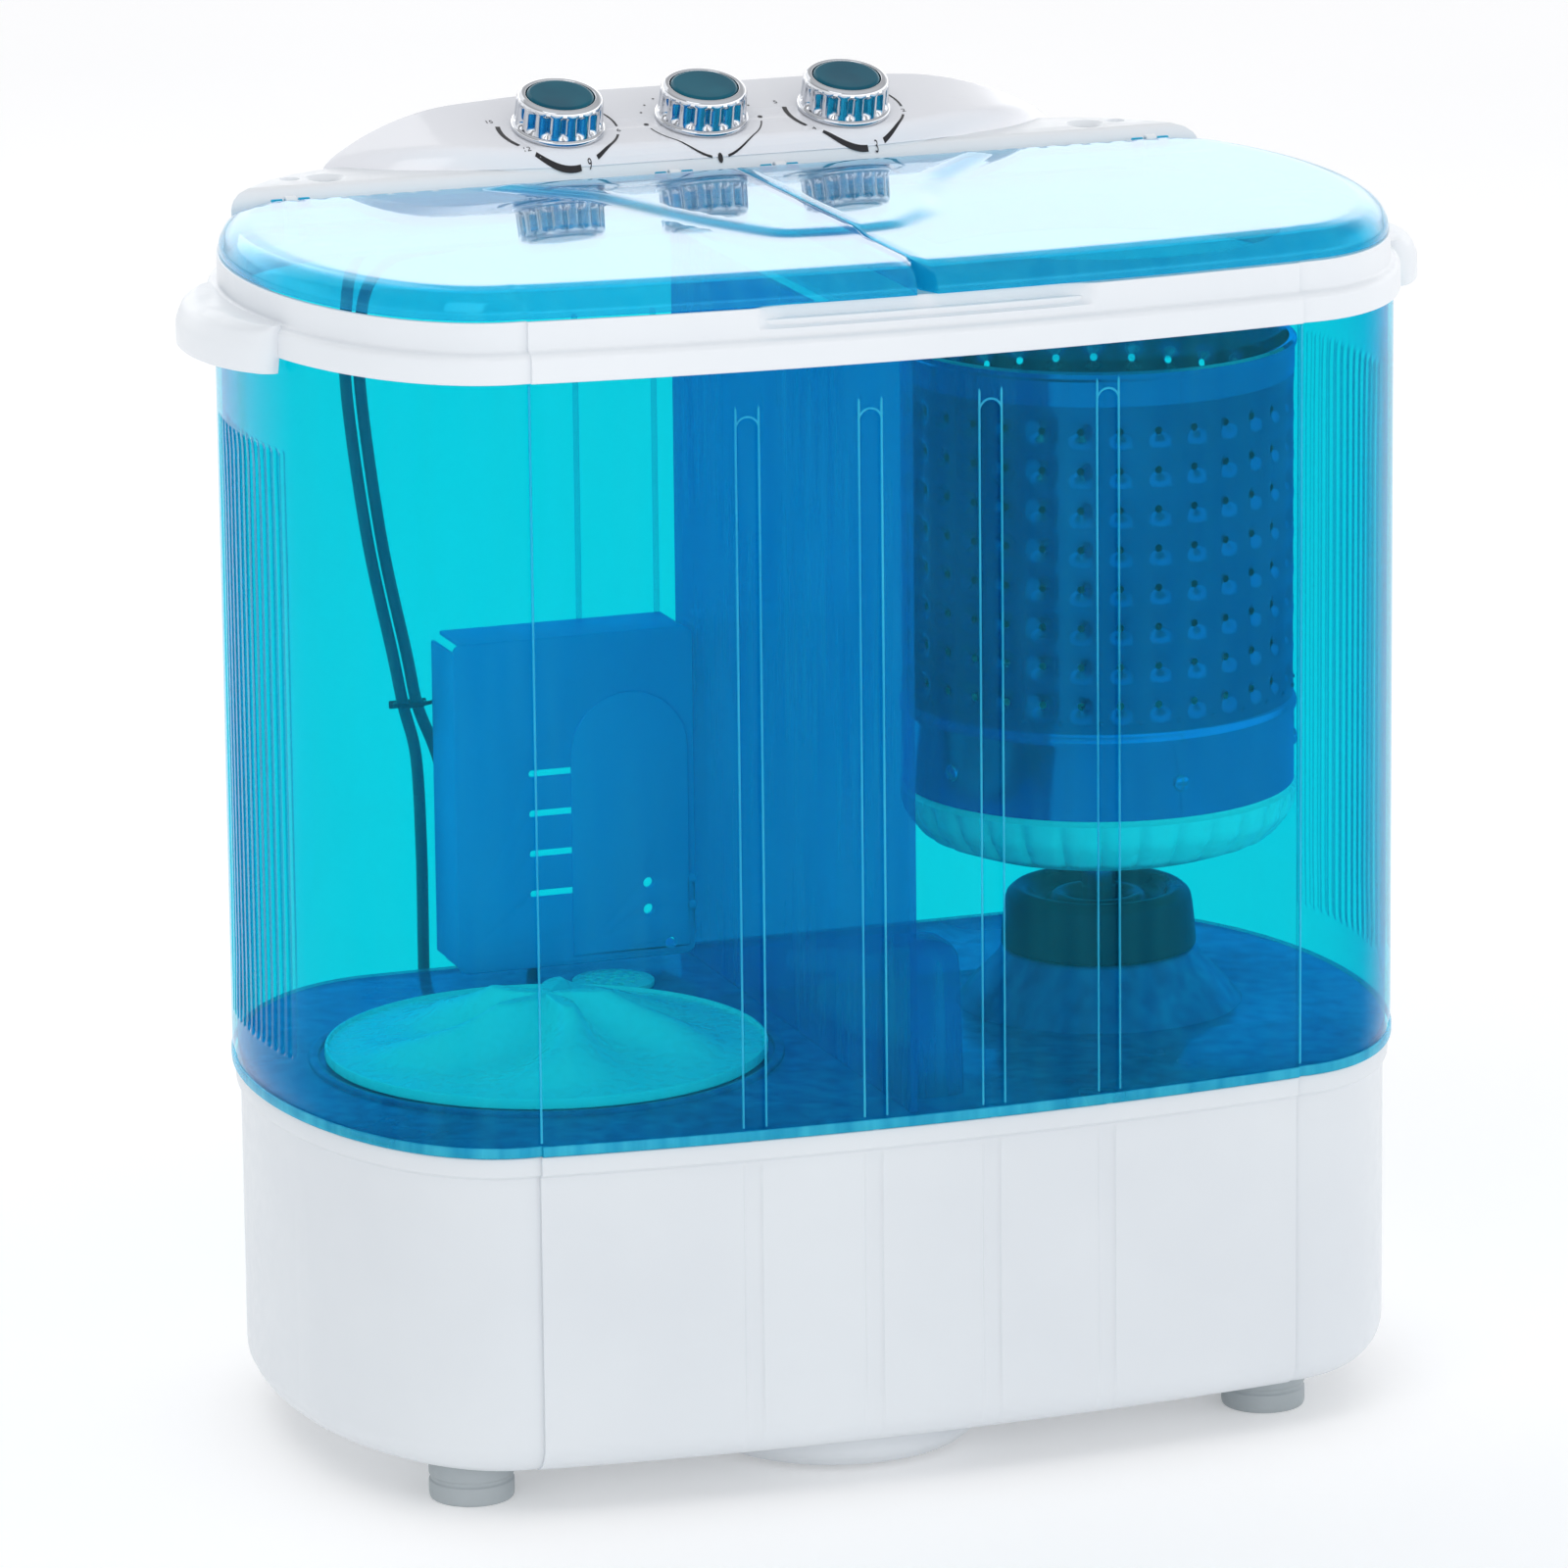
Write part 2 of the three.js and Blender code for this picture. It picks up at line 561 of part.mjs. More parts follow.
function panelOverlay() {
  const holes = KNOBS.map(({ x }) => cylinder(KNOB.stem + 2, -10, 10, 0, 0, 12)
    .rotateX(PANEL.tilt).translate(x, PANEL.y, PANEL.level));
  return cut(
    common(prism(consolePlan(OVERLAY_MARGIN), SHOULDER + GAP, 600), underFace(0)),
    underFace(OVERLAY_THICKNESS),
    ...holes,
  );
}

add('panel_overlay', panelOverlay(), MATERIAL.overlay);

for (const { name, x } of KNOBS) {
  const { flange, body, height, cap, stem } = KNOB;
  add(`${name}_knob`, lathe([
    [0, -12], [stem, -12], [stem, GAP], [flange, GAP], [flange, 2], [body, 3], [body - 1, height - 2],
    [body - 3, height], [cap + GAP, height], [cap + GAP, height - 2], [0, height - 2],
  ], 16), MATERIAL.chrome, panelFace, x);
  add(`${name}_cap`, cylinder(cap, height - 2 + GAP, height + 0.5, 0, 0, 16), MATERIAL.cap, panelFace, x);
  add(`${name}_body`, cut(
    box(-21, 21, -19, 17, -27, -4), // the timer's or switch's case, under the panel
    cylinder(stem + GAP, -13, 0, 0, 0, 8),
  ), MATERIAL.innerWhite, panelFace, x);
}

// ---- Lids ----

// One half of the clear cover, with its hinge pegs. The wash lid is the -X half.
function lid(side) {
  const skin = 2.3;
  const edge = -2.3;
  const outer = stack([[edge, LEVEL.lid], [edge, 511], [-5, 517.5], [-10, 521], [-16.3, LEVEL.lidTop]]);
  const inner = stack([
    [edge - skin, LEVEL.lid - 1], [edge - skin, 511], [-7.2, 516], [-11.4, 518.9],
    [-16.3, LEVEL.lidTop - skin],
  ]);
  const ownHalf = side < 0
    ? box(-300, -LID_SEAM, -200, LID_REAR, 400, 600)
    : box(LID_SEAM, 300, -200, LID_REAR, 400, 600);
  const hinges = Object.values(HINGE_STATIONS).flatMap((x) => {
    const inward = x > 100 ? -1 : 1;
    const { barrelHalf: half } = HINGE;
    const centre = side * (x + inward * (HINGE.earHalf + GAP + half));
    const pegStart = side * (x - inward * 2.3);
    return [
      cylinder(HINGE.barrel, -half, half, 0, 0, 10).rotateY(Math.PI / 2)
        .translate(centre, HINGE.y, HINGE.level),
      box(centre - half, centre + half, LID_REAR - 2, HINGE.y - 1, LEVEL.lidTop - skin, LEVEL.lidTop),
      cylinder(HINGE.peg, 0, Math.abs(centre - pegStart), 0, 0, 8).rotateY(Math.PI / 2)
        .translate(Math.min(centre, pegStart), HINGE.y, HINGE.level),
    ];
  });
  return join(common(cut(outer, inner), ownHalf), ...hinges);
}

add('wash_lid', lid(-1), MATERIAL.lid);
add('spin_lid', lid(1), MATERIAL.lid);

// ---- Wash drive ----

// A shallow disc with a tall hub and four swirling vanes.
function pulsator() {
  const radius = WASH.pulsator;
  const seat = LEVEL.floor + 1;
  const rings = 5;
  const vanes = 4;
  const swirl = 2.5;
  const height = { disc: 3, vane: 11, hub: 23 };
  const top = Array.from({ length: rings + 1 }, (_, i) => [radius * (1 - i / rings), seat + height.disc]);
  const profile = [[0, seat], [radius, seat], ...top].map(([r, z]) => new THREE.Vector2(r, z));
  const disc = new THREE.LatheGeometry(profile, 24).rotateX(Math.PI / 2);
  const position = disc.getAttribute('position');
  for (let i = 0; i < position.count; i += 1) {
    if (position.getZ(i) < seat + 1) continue;
    const x = position.getX(i);
    const y = position.getY(i);
    const reach = Math.hypot(x, y) / radius;
    const vane = Math.max(0, Math.cos(vanes * Math.atan2(y, x) + swirl * reach)) ** 2;
    const hub = height.hub * Math.exp(-((reach / 0.22) ** 2));
    const swell = Math.sin(Math.PI * Math.min(1, reach)) ** 2;
    position.setZ(i, position.getZ(i) + hub + height.vane * vane * swell);
  }
  const socket = cylinder(WASH.shaft + GAP, seat - 1, seat + 12, 0, 0, 12);
  return cut(disc, socket).translate(WASH.x, BODY.centreY, 0);
}

// A belt pulley: a grooved wheel whose rim holds the belt between two flanges.
function pulley(radius, bore, segments) {
  const { bottom, top } = BELT_LEVEL;
  return ring([
    [bore, bottom], [radius + 4, bottom], [radius + 4, bottom + 2], [radius, bottom + 3.5],
    [radius, top - 3.5], [radius + 4, top - 2], [radius + 4, top], [bore, top],
  ], segments);
}

add('pulsator', pulsator(), MATERIAL.innerWhite);
add('pulsator_shaft', cylinder(WASH.shaft, 62, LEVEL.floor + 12, WASH.x, BODY.centreY, 12), MATERIAL.steel);
add(
  'pulsator_pulley',
  pulley(WASH.pulley, WASH.shaft + GAP, 18).translate(WASH.x, BODY.centreY, 0),
  MATERIAL.innerWhite,
);
add('pulsator_bearing', ring([
  [WASH.shaft + GAP, 94], [20, 94], [20, 146], [34, 150], [34, LEVEL.floorUnder - GAP],
  [WASH.shaft + GAP, LEVEL.floorUnder - GAP],
], 14, WASH.x, BODY.centreY), MATERIAL.castIron);

const motorPulley = join(
  pulley(WASH_MOTOR.pulley, 3, 12),
  cylinder(4, BELT_LEVEL.bottom - 3, WASH_MOTOR.bottom - GAP, 0, 0, 12),
);
add('motor_pulley', motorPulley.translate(WASH_MOTOR.x, WASH_MOTOR.y, 0), MATERIAL.steel);

function washMotor() {
  const { x, y, radius, bottom, top } = WASH_MOTOR;
  const ears = [-1, 1].map((side) => (
    box(x + side * radius - 8, x + side * radius + 8, y - 12, y + 12, top - 16, LEVEL.floorUnder - GAP)));
  const can = lathe([
    [0, bottom], [26, bottom], [radius, bottom + 10], [radius, top - 8], [26, top], [0, top],
  ], 16, x, y);
  return join(can, ...ears);
}

add('wash_motor', washMotor(), MATERIAL.motor);

// The belt's loop round two pulleys: two arcs and the straight runs between them.
function driveBelt() {
  const from = new THREE.Vector2(WASH.x, BODY.centreY);
  const to = new THREE.Vector2(WASH_MOTOR.x, WASH_MOTOR.y);
  const span = to.clone().sub(from);
  const heading = span.angle();
  const loop = (clearance) => {
    const large = WASH.pulley + clearance;
    const small = WASH_MOTOR.pulley + clearance;
    const lean = Math.acos((large - small) / span.length());
    const arc = (centre, radius, start, end, steps) => Array.from({ length: steps + 1 }, (_, i) => {
      const angle = heading + start + ((end - start) * i) / steps;
      return new THREE.Vector2(centre.x + radius * Math.cos(angle), centre.y + radius * Math.sin(angle));
    });
    return [...arc(from, large, lean, 2 * Math.PI - lean, 16), ...arc(to, small, -lean, lean, 6)];
  };
  return prism(loop(5), BELT_LEVEL.bottom + 4, BELT_LEVEL.top - 4, [new THREE.Path(loop(GAP + 0.7))]);
}

add('drive_belt', driveBelt(), MATERIAL.rubber);

// ---- Drain ----

const DRAIN_PIPE = { outer: 10, bore: 7.5, level: DRAIN_OUTLET.level + 2 };

function drainValveBody() {
  const { x, y, radius, bottom } = VALVE;
  const inner = radius - WALL;
  const top = LEVEL.floorUnder - GAP;
  const cup = ring([
    [6, bottom], [radius, bottom], [radius, top], [inner, top],
    [inner, VALVE.seat], [VALVE.mouth, VALVE.seat], [VALVE.mouth, VALVE.seat - WALL],
    [inner, VALVE.seat - WALL], [inner, bottom + WALL], [6, bottom + WALL],
  ], 16, x, y);
  const outlet = cylinder(DRAIN_PIPE.outer + 0.6, radius - 5, radius + 5, 0, 0, 12)
    .rotateY(Math.PI / 2).translate(x, y, DRAIN_PIPE.level);
  return cut(cup, outlet);
}

add('drain_valve_body', drainValveBody(), MATERIAL.innerWhite);
add('drain_valve_plunger', lathe([
  [0, 98], [VALVE.rod, 98], [VALVE.rod, VALVE.seat + GAP], [VALVE.disc, VALVE.seat + GAP],
  [VALVE.disc, 146], [10, 150], [0, 150],
], 12, VALVE.x, VALVE.y), MATERIAL.rubber);

// The pipe from the valve to the hose spigot on the back of the base.
function drainPipe() {
  const { outer, bore, level } = DRAIN_PIPE;
  const start = VALVE.x + VALVE.radius + 1;
  const route = (early, late) => [
    [start - early, VALVE.y, level], [start + 16, VALVE.y, level],
    [DRAIN_OUTLET.x - 8, VALVE.y + 8, level - 1], [DRAIN_OUTLET.x, VALVE.y + 28, DRAIN_OUTLET.level],
    [DRAIN_OUTLET.x, 150 + late, DRAIN_OUTLET.level],
  ];
  return cut(cable(route(0, 10), outer, 8), cable(route(4, 14), bore, 8));
}

add('drain_pipe', drainPipe(), MATERIAL.innerWhite);

// ---- Spin dryer ----

const BOOT = { radius: 41, bottom: CONE.level + GAP, top: 214 };

function spinBasket() {
  const { basket, bottom, top } = SPIN;
  const inner = basket - 1.5;
  const brim = SPIN_MOUTH + 1;
  return ring([
    [inner, bottom + 2], [basket, bottom + 2], [basket, top - 3], [basket - 1.5, top],
    [brim, top], [brim, top - 1.5], [inner, top - 3],
  ], 24, SPIN.x, BODY.centreY);
}

function basketBase() {
  const rim = SPIN.basket - 1.5 - GAP;
  const hub = SPIN.shaft + GAP;
  return ring([
    [hub, 222], [19, 222], [19, 232], [60, 234], [SPIN.basket, SPIN.bottom], [rim, SPIN.bottom + 1.7],
    [rim, 284], [rim - 4, 284], [rim - 4, 262], [58, 237.5], [17, 235.5], [15, 290], [hub, 290],
  ], 24, SPIN.x, BODY.centreY);
}

const screwAngles = Array.from({ length: BASKET_SCREWS.count }, (_, i) => (
  THREE.MathUtils.degToRad(BASKET_SCREWS.start + (360 / BASKET_SCREWS.count) * i)));

// Turns a shape made along +X at the origin to point outwards at a basket screw.
const atScrew = (geometry, angle) => geometry
  .rotateZ(angle).translate(SPIN.x, BODY.centreY, BASKET_SCREWS.level);

const screwBores = () => screwAngles.map((angle) => (
  atScrew(cylinder(BASKET_SCREWS.radius + GAP, 70, 95, 0, 0, 8).rotateY(Math.PI / 2), angle)));

add('spin_basket', cut(spinBasket(), ...screwBores()), MATERIAL.steel);
add('basket_base', cut(basketBase(), ...screwBores()), MATERIAL.innerWhite);
screwAngles.forEach((angle, i) => {
  const { radius } = BASKET_SCREWS;
  const tip = 76;
  const head = SPIN.basket + GAP;
  const screw = lathe([
    [0, tip], [radius, tip], [radius, head], [2 * radius, head], [3.6, head + 1.6], [0, head + 2.2],
  ], 8).rotateY(Math.PI / 2);
  add(`basket_screw_${i + 1}`, atScrew(screw, angle), MATERIAL.steel);
});

add(
  'spin_shaft',
  cylinder(SPIN.shaft, SPIN_MOTOR.top + GAP, 292, SPIN.x, BODY.centreY, 12),
  MATERIAL.steel,
);

// A drum open at the top, with a web and a hub.
function brakeDrum() {
  const { drum, bottom, top } = BRAKE;
  const bore = SPIN.shaft + GAP;
  const web = 4;
  return ring([
    [bore, bottom], [drum, bottom], [drum, top], [drum - web, top], [drum - web, bottom + web],
    [20, bottom + web], [16, top + web], [bore, top + web],
  ], 16, SPIN.x, BODY.centreY);
}

add('brake_drum', brakeDrum(), MATERIAL.castIron);

// The bellows between the tub and the spinning shaft, with a dished top.
add('spin_boot', ring([
  [BOOT.radius - 3, BOOT.bottom], [BOOT.radius + 1.5, BOOT.bottom], [BOOT.radius, BOOT.bottom + 5],
  [BOOT.radius - 1, BOOT.top - 6], [BOOT.radius - 6, BOOT.top], [BOOT.radius - 11, BOOT.top],
  [BOOT.radius - 14, BOOT.top - 5], [SPIN.shaft + 0.6, BOOT.top - 5], [SPIN.shaft + 0.6, BOOT.top - 8],
  [BOOT.radius - 13, BOOT.top - 8], [BOOT.radius - 9, BOOT.top - 3], [BOOT.radius - 4, BOOT.top - 8],
], 16, SPIN.x, BODY.centreY), MATERIAL.rubber);

const BRAKE_PIVOT = { x: SPIN.x + BRAKE.pivotX, y: BODY.centreY + BRAKE.pivotY };

function spinMotor() {
  const { radius, top } = SPIN_MOTOR;
  const bottom = MOTOR_MOUNT.top + GAP;
  const body = lathe([
    [0, bottom], [radius - 2, bottom], [radius, bottom + 4], [radius, top - 10], [34, top], [0, top],
  ], 20, SPIN.x, BODY.centreY);
  const { x: pivotX, y: pivotY } = BRAKE_PIVOT;
  const arm = box(SPIN.x + 30, pivotX + 8, BODY.centreY + 8, pivotY + 8, 104, 110);
  const post = cylinder(BRAKE.post, 108, 136, pivotX, pivotY, 12);
  return join(body, arm, post);
}

add('spin_motor', spinMotor(), MATERIAL.motor);

[90, 210, 330].forEach((degrees, i) => {
  const angle = THREE.MathUtils.degToRad(degrees);
  const x = SPIN.x + MOTOR_MOUNT.circle * Math.cos(angle);
  const y = BODY.centreY + MOTOR_MOUNT.circle * Math.sin(angle);
  const seat = LEVEL.base + WALL + GAP;
  add(`spin_motor_mount_${i + 1}`, lathe([
    [0, seat], [14, seat], [14, 30], [9, 36], [12, 44], [12, MOTOR_MOUNT.top], [0, MOTOR_MOUNT.top],
  ], 12, x, y), MATERIAL.rubber);
});

// The brake shoe's lever turns on the motor's post and closes on the drum when the spin lid opens.
function brakeLever() {
  const { x: pivotX, y: pivotY } = BRAKE_PIVOT;
  const shoe = ring([
    [BRAKE.drum + 2.5, BRAKE.bottom + 3], [BRAKE.drum + 9, BRAKE.bottom + 3],
    [BRAKE.drum + 9, BRAKE.top - 3], [BRAKE.drum + 2.5, BRAKE.top - 3],
  ], 40, SPIN.x, BODY.centreY);
  const bite = box(SPIN.x + 10, SPIN.x + 80, BODY.centreY - 14, BODY.centreY + 14, 100, 160);
  const plate = box(
    SPIN.x + BRAKE.drum + 4, pivotX + 7, BODY.centreY - 14, pivotY + 7,
    BRAKE.bottom + 5, BRAKE.bottom + 9);
  const bore = cylinder(BRAKE.post + GAP, 100, 160, pivotX, pivotY, 12);
  const sweep = cylinder(BRAKE.drum + 2.5, 100, 160, SPIN.x, BODY.centreY, 40);
  return cut(join(common(shoe, bite), plate), bore, sweep);
}

add('brake_lever', brakeLever(), MATERIAL.castIron);

add('capacitor', lathe([[0, -28], [14, -28], [15, -26], [15, 26], [12, 28], [0, 28]], 14)
  .rotateY(Math.PI / 2).translate(28, 70, 38), MATERIAL.innerWhite);

// ---- Wiring ----

// The leads leave the console at the back, run down behind the wash tub and enter the base.
const WASH_LEAD = [
  [-66, 148.2, 528.6], [-67, 153.6, 530.2], [-78, 154.6, 527], [-89, 153.7, 519], [-90, 153.4, 509],
  [-92, 153.4, 500], [-110, 153.3, 493], [-136, 153, 490], [-150, 152, 480], [-155, 150.4, 462],
  [-156, 150, 425], [-148, 150, 359], [-137.5, 150, 306], [-133, 150, 282], [-127.6, 150, 258],
  [-126, 150, 215], [-126, 150, 171], [-126, 149.6, 146], [-126, 145.5, 133.4],
  [-126, 139, LEAD_ENTRY.level], [-127.4, 132.8, LEAD_ENTRY.level],
];
const SPIN_LEAD = [
  [60, 148.2, 528.6], [58, 153.8, 530], [44, 156, 527], [10, 156.2, 524], [-40, 156, 522],
  [-66, 155, 521], [-76.8, 153.7, 516], [-77.8, 153.4, 505], [-79.5, 153.4, 497], [-88, 153.4, 488],
  [-108, 153.3, 483.5], [-131, 153, 481], [-143.5, 152, 471], [-148.6, 150.4, 455], [-149.6, 150, 425],
  [-141.7, 150, 359], [-131.2, 150, 306], [-126.6, 150, 282], [-119.5, 150, 263], [-112, 150, 240],
  [-97, 150, 205], [-80, 150, 175], [-72.6, 150, 155], [-72, 148.4, 140], [-72, 144, 133],
  [-72, 138, LEAD_ENTRY.level], [-66, 130, 133], [-48, 126, 139], [-10, 124, 146], [50, 122, 146],
  [92, 100, 132], [108, 70, 108], [114.4, 50, 96],
];

add('wash_lead', cable(WASH_LEAD, LEAD_RADIUS, 28), MATERIAL.lead);
add('spin_lead', cable(SPIN_LEAD, LEAD_RADIUS, 40), MATERIAL.lead);

add('lead_clip', cut(
  box(-138.6, -121.2, BODY.centreY + BODY.rear + GAP, 154.8, 280, 284),
  box(-137.4, -122.4, 147, 153.4, 270, 290),
), MATERIAL.rubber);

export default machine;
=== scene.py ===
"""A compact twin tub washing machine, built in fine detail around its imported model."""

import math

import bmesh
import bpy
import numpy as np
from mathutils import Matrix, Vector
from mathutils.geometry import delaunay_2d_cdt


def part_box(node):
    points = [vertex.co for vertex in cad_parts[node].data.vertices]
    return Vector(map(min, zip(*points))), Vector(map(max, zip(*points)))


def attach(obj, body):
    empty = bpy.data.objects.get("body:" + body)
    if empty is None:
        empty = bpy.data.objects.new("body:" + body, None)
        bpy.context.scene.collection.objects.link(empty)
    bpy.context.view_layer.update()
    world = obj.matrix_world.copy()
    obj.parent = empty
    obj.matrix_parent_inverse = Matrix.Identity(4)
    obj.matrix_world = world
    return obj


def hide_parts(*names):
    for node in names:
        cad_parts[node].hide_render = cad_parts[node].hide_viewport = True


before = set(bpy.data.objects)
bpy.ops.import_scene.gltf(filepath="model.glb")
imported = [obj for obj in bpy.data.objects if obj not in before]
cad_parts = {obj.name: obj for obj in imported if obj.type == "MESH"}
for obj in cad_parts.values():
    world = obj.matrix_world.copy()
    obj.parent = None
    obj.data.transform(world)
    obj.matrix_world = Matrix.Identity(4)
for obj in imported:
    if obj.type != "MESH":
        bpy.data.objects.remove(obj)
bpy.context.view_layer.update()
MM = 0.001


def node_box(node):
    """A node's lowest and highest corners in millimetres."""
    low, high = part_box(node)
    return np.array(low) / MM, np.array(high) / MM


# ---- Driving dimensions, in millimetres ----

TUB_LOW, TUB_HIGH = node_box("tub_body")
CENTRE_Y = -6.5  # the line that both tubs stand on
BOW = 11  # how far the front's middle stands out
HALF_WIDTH = TUB_HIGH[0]
FRONT = CENTRE_Y - TUB_LOW[1] - BOW
REAR = TUB_HIGH[1] - CENTRE_Y
FRONT_FLAT = 168
REAR_FLAT = 152
CORNER_STEP = 1.6  # the front's middle stands this far in front of the rounded ends
WALL = 2.5
FLUTES = (-78.6, -26.2, 26.2, 78.6)
FLUTE_HALF = 4.2
REEDS = [7 * k for k in range(-6, 7)]  # places round the end, from its middle
REED_HALF = 1.9
BACK_FLUTES = (-128, -94, -60, 60, 94, 128)
BASE_OFFSET = -3.4
RIM_BAND = 3
RIM_INSET = -1.5
RIM_LOW = 483.3
FLUTE_TOP = RIM_LOW - 24
SHOULDER = 525
FRONT_LIP = 518.5  # where the console and its shelf start to roll over, in front

BASE_LOW, BASE_HIGH = node_box("base_housing")
BASKET_LOW, BASKET_HIGH = node_box("spin_basket")
PULSATOR_LOW, PULSATOR_HIGH = node_box("pulsator")
SPIN_X = (BASKET_LOW[0] + BASKET_HIGH[0]) / 2
WASH_X = (PULSATOR_LOW[0] + PULSATOR_HIGH[0]) / 2
TUB_FLOOR = 163
DECK = 503
RIM_STEP = 493.7
PANEL_TILT = math.radians(16.5)
PANEL_FRONT = 98.5
PANEL_Y, PANEL_Z = 126.0, 537.3
CONSOLE = [
    (70, 98.5), (100, 103), (125, 110), (142, 117), (158, 128), (170, 139), (170, 143.5), (148, 148.5),
    (130, 152), (110, 156), (78, 160.6), (60, 161.5)]  # half of its plan, from front to rear
CONSOLE_MIDDLE = 130  # the depth that the console's plan is drawn in towards
ARCH_START, ARCH_RATE, ARCH_POWER = 103, 0.0021, 2.15
ROLL_WIDTH, ROLL_POWER = 10, 2.4
SKIN = 1.15  # the console's own face lies this far below the overlay's
KNOB_SPACING = 65.5
SCALE_RADIUS = 26.2
MARK_HEIGHT = 0.12


# ---- Node materials ----

class Graph:
    """Builds a material's nodes."""

    def __init__(self, name):
        self.material = bpy.data.materials.new(name)
        self.material.use_nodes = True
        self.tree = self.material.node_tree
        self.tree.nodes.clear()
        self.output = self.tree.nodes.new("ShaderNodeOutputMaterial")
        self.place = self.tree.nodes.new("ShaderNodeTexCoord").outputs["Object"]

    def node(self, kind, settings=None, **inputs):
        node = self.tree.nodes.new(kind)
        for key, value in (settings or {}).items():
            setattr(node, key, value)
        for key, value in inputs.items():
            self.put(node.inputs[key.replace("_", " ")], value)
        return node

    def put(self, socket, value):
        if isinstance(value, bpy.types.NodeSocket):
            self.tree.links.new(value, socket)
        else:
            socket.default_value = value

    def stretch(self, scale):
        mapping = self.node("ShaderNodeMapping", Vector=self.place, Scale=scale)
        return mapping.outputs["Vector"]

    def noise(self, scale, detail=3.0, place=None):
        node = self.node("ShaderNodeTexNoise", Vector=place or self.place, Scale=scale, Detail=detail)
        return node.outputs["Fac"]

    def span(self, value, low, high, start=0.3, end=0.7):
        """Maps a noise value to a range."""
        node = self.node("ShaderNodeMapRange", Value=value)
        for name, number in (("From Min", start), ("From Max", end), ("To Min", low), ("To Max", high)):
            node.inputs[name].default_value = number
        return node.outputs["Result"]

    def blend(self, factor, first, second):
        node = self.node("ShaderNodeMix", {"data_type": "RGBA"})
        for index, value in ((0, factor), (6, first), (7, second)):
            self.put(node.inputs[index], value)
        return node.outputs[2]

    def math(self, operation, *values):
        node = self.node("ShaderNodeMath", {"operation": operation})
        for index, value in enumerate(values):
            self.put(node.inputs[index], value)
        return node.outputs[0]

    def bump(self, height, strength, distance=0.001, normal=None):
        node = self.node("ShaderNodeBump", Height=height, Strength=strength, Distance=distance)
        if normal:
            self.put(node.inputs["Normal"], normal)
        return node.outputs["Normal"]

    def finish(self, shader):
        self.tree.links.new(shader, self.output.inputs["Surface"])
        return self.material


def rgb(red, green, blue):
    """A colour as displayed, 0 to 255, turned into the linear values that shaders take."""
    def linear(value):
        share = value / 255
        return share / 12.92 if share <= 0.04045 else ((share + 0.055) / 1.055) ** 2.4
    return (linear(red), linear(green), linear(blue), 1.0)


def plastic(name, light, dark, rough=(0.28, 0.42), grain=900.0, coat=0.0):
    """Moulded plastic: faint flow marks in the colour, and a fine grain in the surface."""
    g = Graph(name)
    flow = g.noise(7.0, 4.0)
    speck = g.noise(160.0, 2.0)
    colour = g.blend(g.span(flow, 0.0, 1.0), light, dark)
    fine = g.bump(g.noise(grain, 2.0), 0.05, 0.0002)
    wave = g.bump(g.noise(28.0, 1.0), 0.05, 0.001, fine)
    shader = g.node(
        "ShaderNodeBsdfPrincipled", Base_Color=colour, Normal=wave,
        Roughness=g.span(speck, rough[0], rough[1]))
    shader.inputs["IOR"].default_value = 1.46
    shader.inputs["Coat Weight"].default_value = coat
    shader.inputs["Coat Roughness"].default_value = 0.06
    return g.finish(shader.outputs["BSDF"])


def clear_plastic(name, tint, body, haze, deep, face_on=0.02, rough=0.05, edge_on=1.0, mirrored=None):
    """Clear moulded plastic: tinted by each face, deeper seen edge on, with flow marks and scuffs."""
    g = Graph(name)
    facing = g.node("ShaderNodeLayerWeight", Blend=0.5).outputs["Facing"]
    edge = g.math("POWER", facing, 3.0)
    seen = g.blend(edge, tint, deep)
    path = g.node("ShaderNodeLightPath")
    lamp = g.math("MAXIMUM", path.outputs["Is Shadow Ray"], path.outputs["Is Diffuse Ray"])
    lit = g.blend(0.7, tint, (1.0, 1.0, 1.0, 1.0))
    colour = g.blend(lamp, seen, lit)
    if mirrored:
        colour = g.blend(path.outputs["Is Glossy Ray"], colour, mirrored)
    through = g.node("ShaderNodeBsdfTransparent", Color=colour)
    streaks = g.noise(9.0, 5.0, g.stretch((14.0, 14.0, 1.0)))
    cloud = g.noise(11.0, 3.0)
    scuffs = g.noise(60.0, 6.0, g.stretch((0.6, 0.6, 12.0)))
    marks = g.bump(scuffs, 0.006, 0.0003, g.bump(streaks, 0.01, 0.0006))
    milk = g.math("MULTIPLY", g.span(cloud, haze * 0.8, haze * 1.2), g.span(streaks, 0.85, 1.15))
    solid = g.node(
        "ShaderNodeBsdfPrincipled", Base_Color=g.blend(g.span(streaks, 0.0, 0.5), body, deep),
        Roughness=g.span(cloud, 0.25, 0.4), Normal=marks)
    inside = g.node("ShaderNodeMixShader")
    g.put(inside.inputs[0], milk)
    g.put(inside.inputs[1], through.outputs[0])
    g.put(inside.inputs[2], solid.outputs[0])
    glow = g.blend(g.span(facing, 0.0, 1.0, 0.5, 0.75), (0.08, 0.8, 1.0, 1), (0.94, 0.985, 1.0, 1))
    shine = g.node(
        "ShaderNodeBsdfGlossy", Color=glow, Roughness=g.span(cloud, rough * 0.7, rough * 1.3), Normal=marks)
    share = g.math("MULTIPLY_ADD", g.math("POWER", facing, 5.0), edge_on - face_on, face_on)
    outer = g.node("ShaderNodeMixShader")
    g.put(outer.inputs[0], share)
    g.put(outer.inputs[1], inside.outputs[0])
    g.put(outer.inputs[2], shine.outputs[0])
    return g.finish(outer.outputs[0])


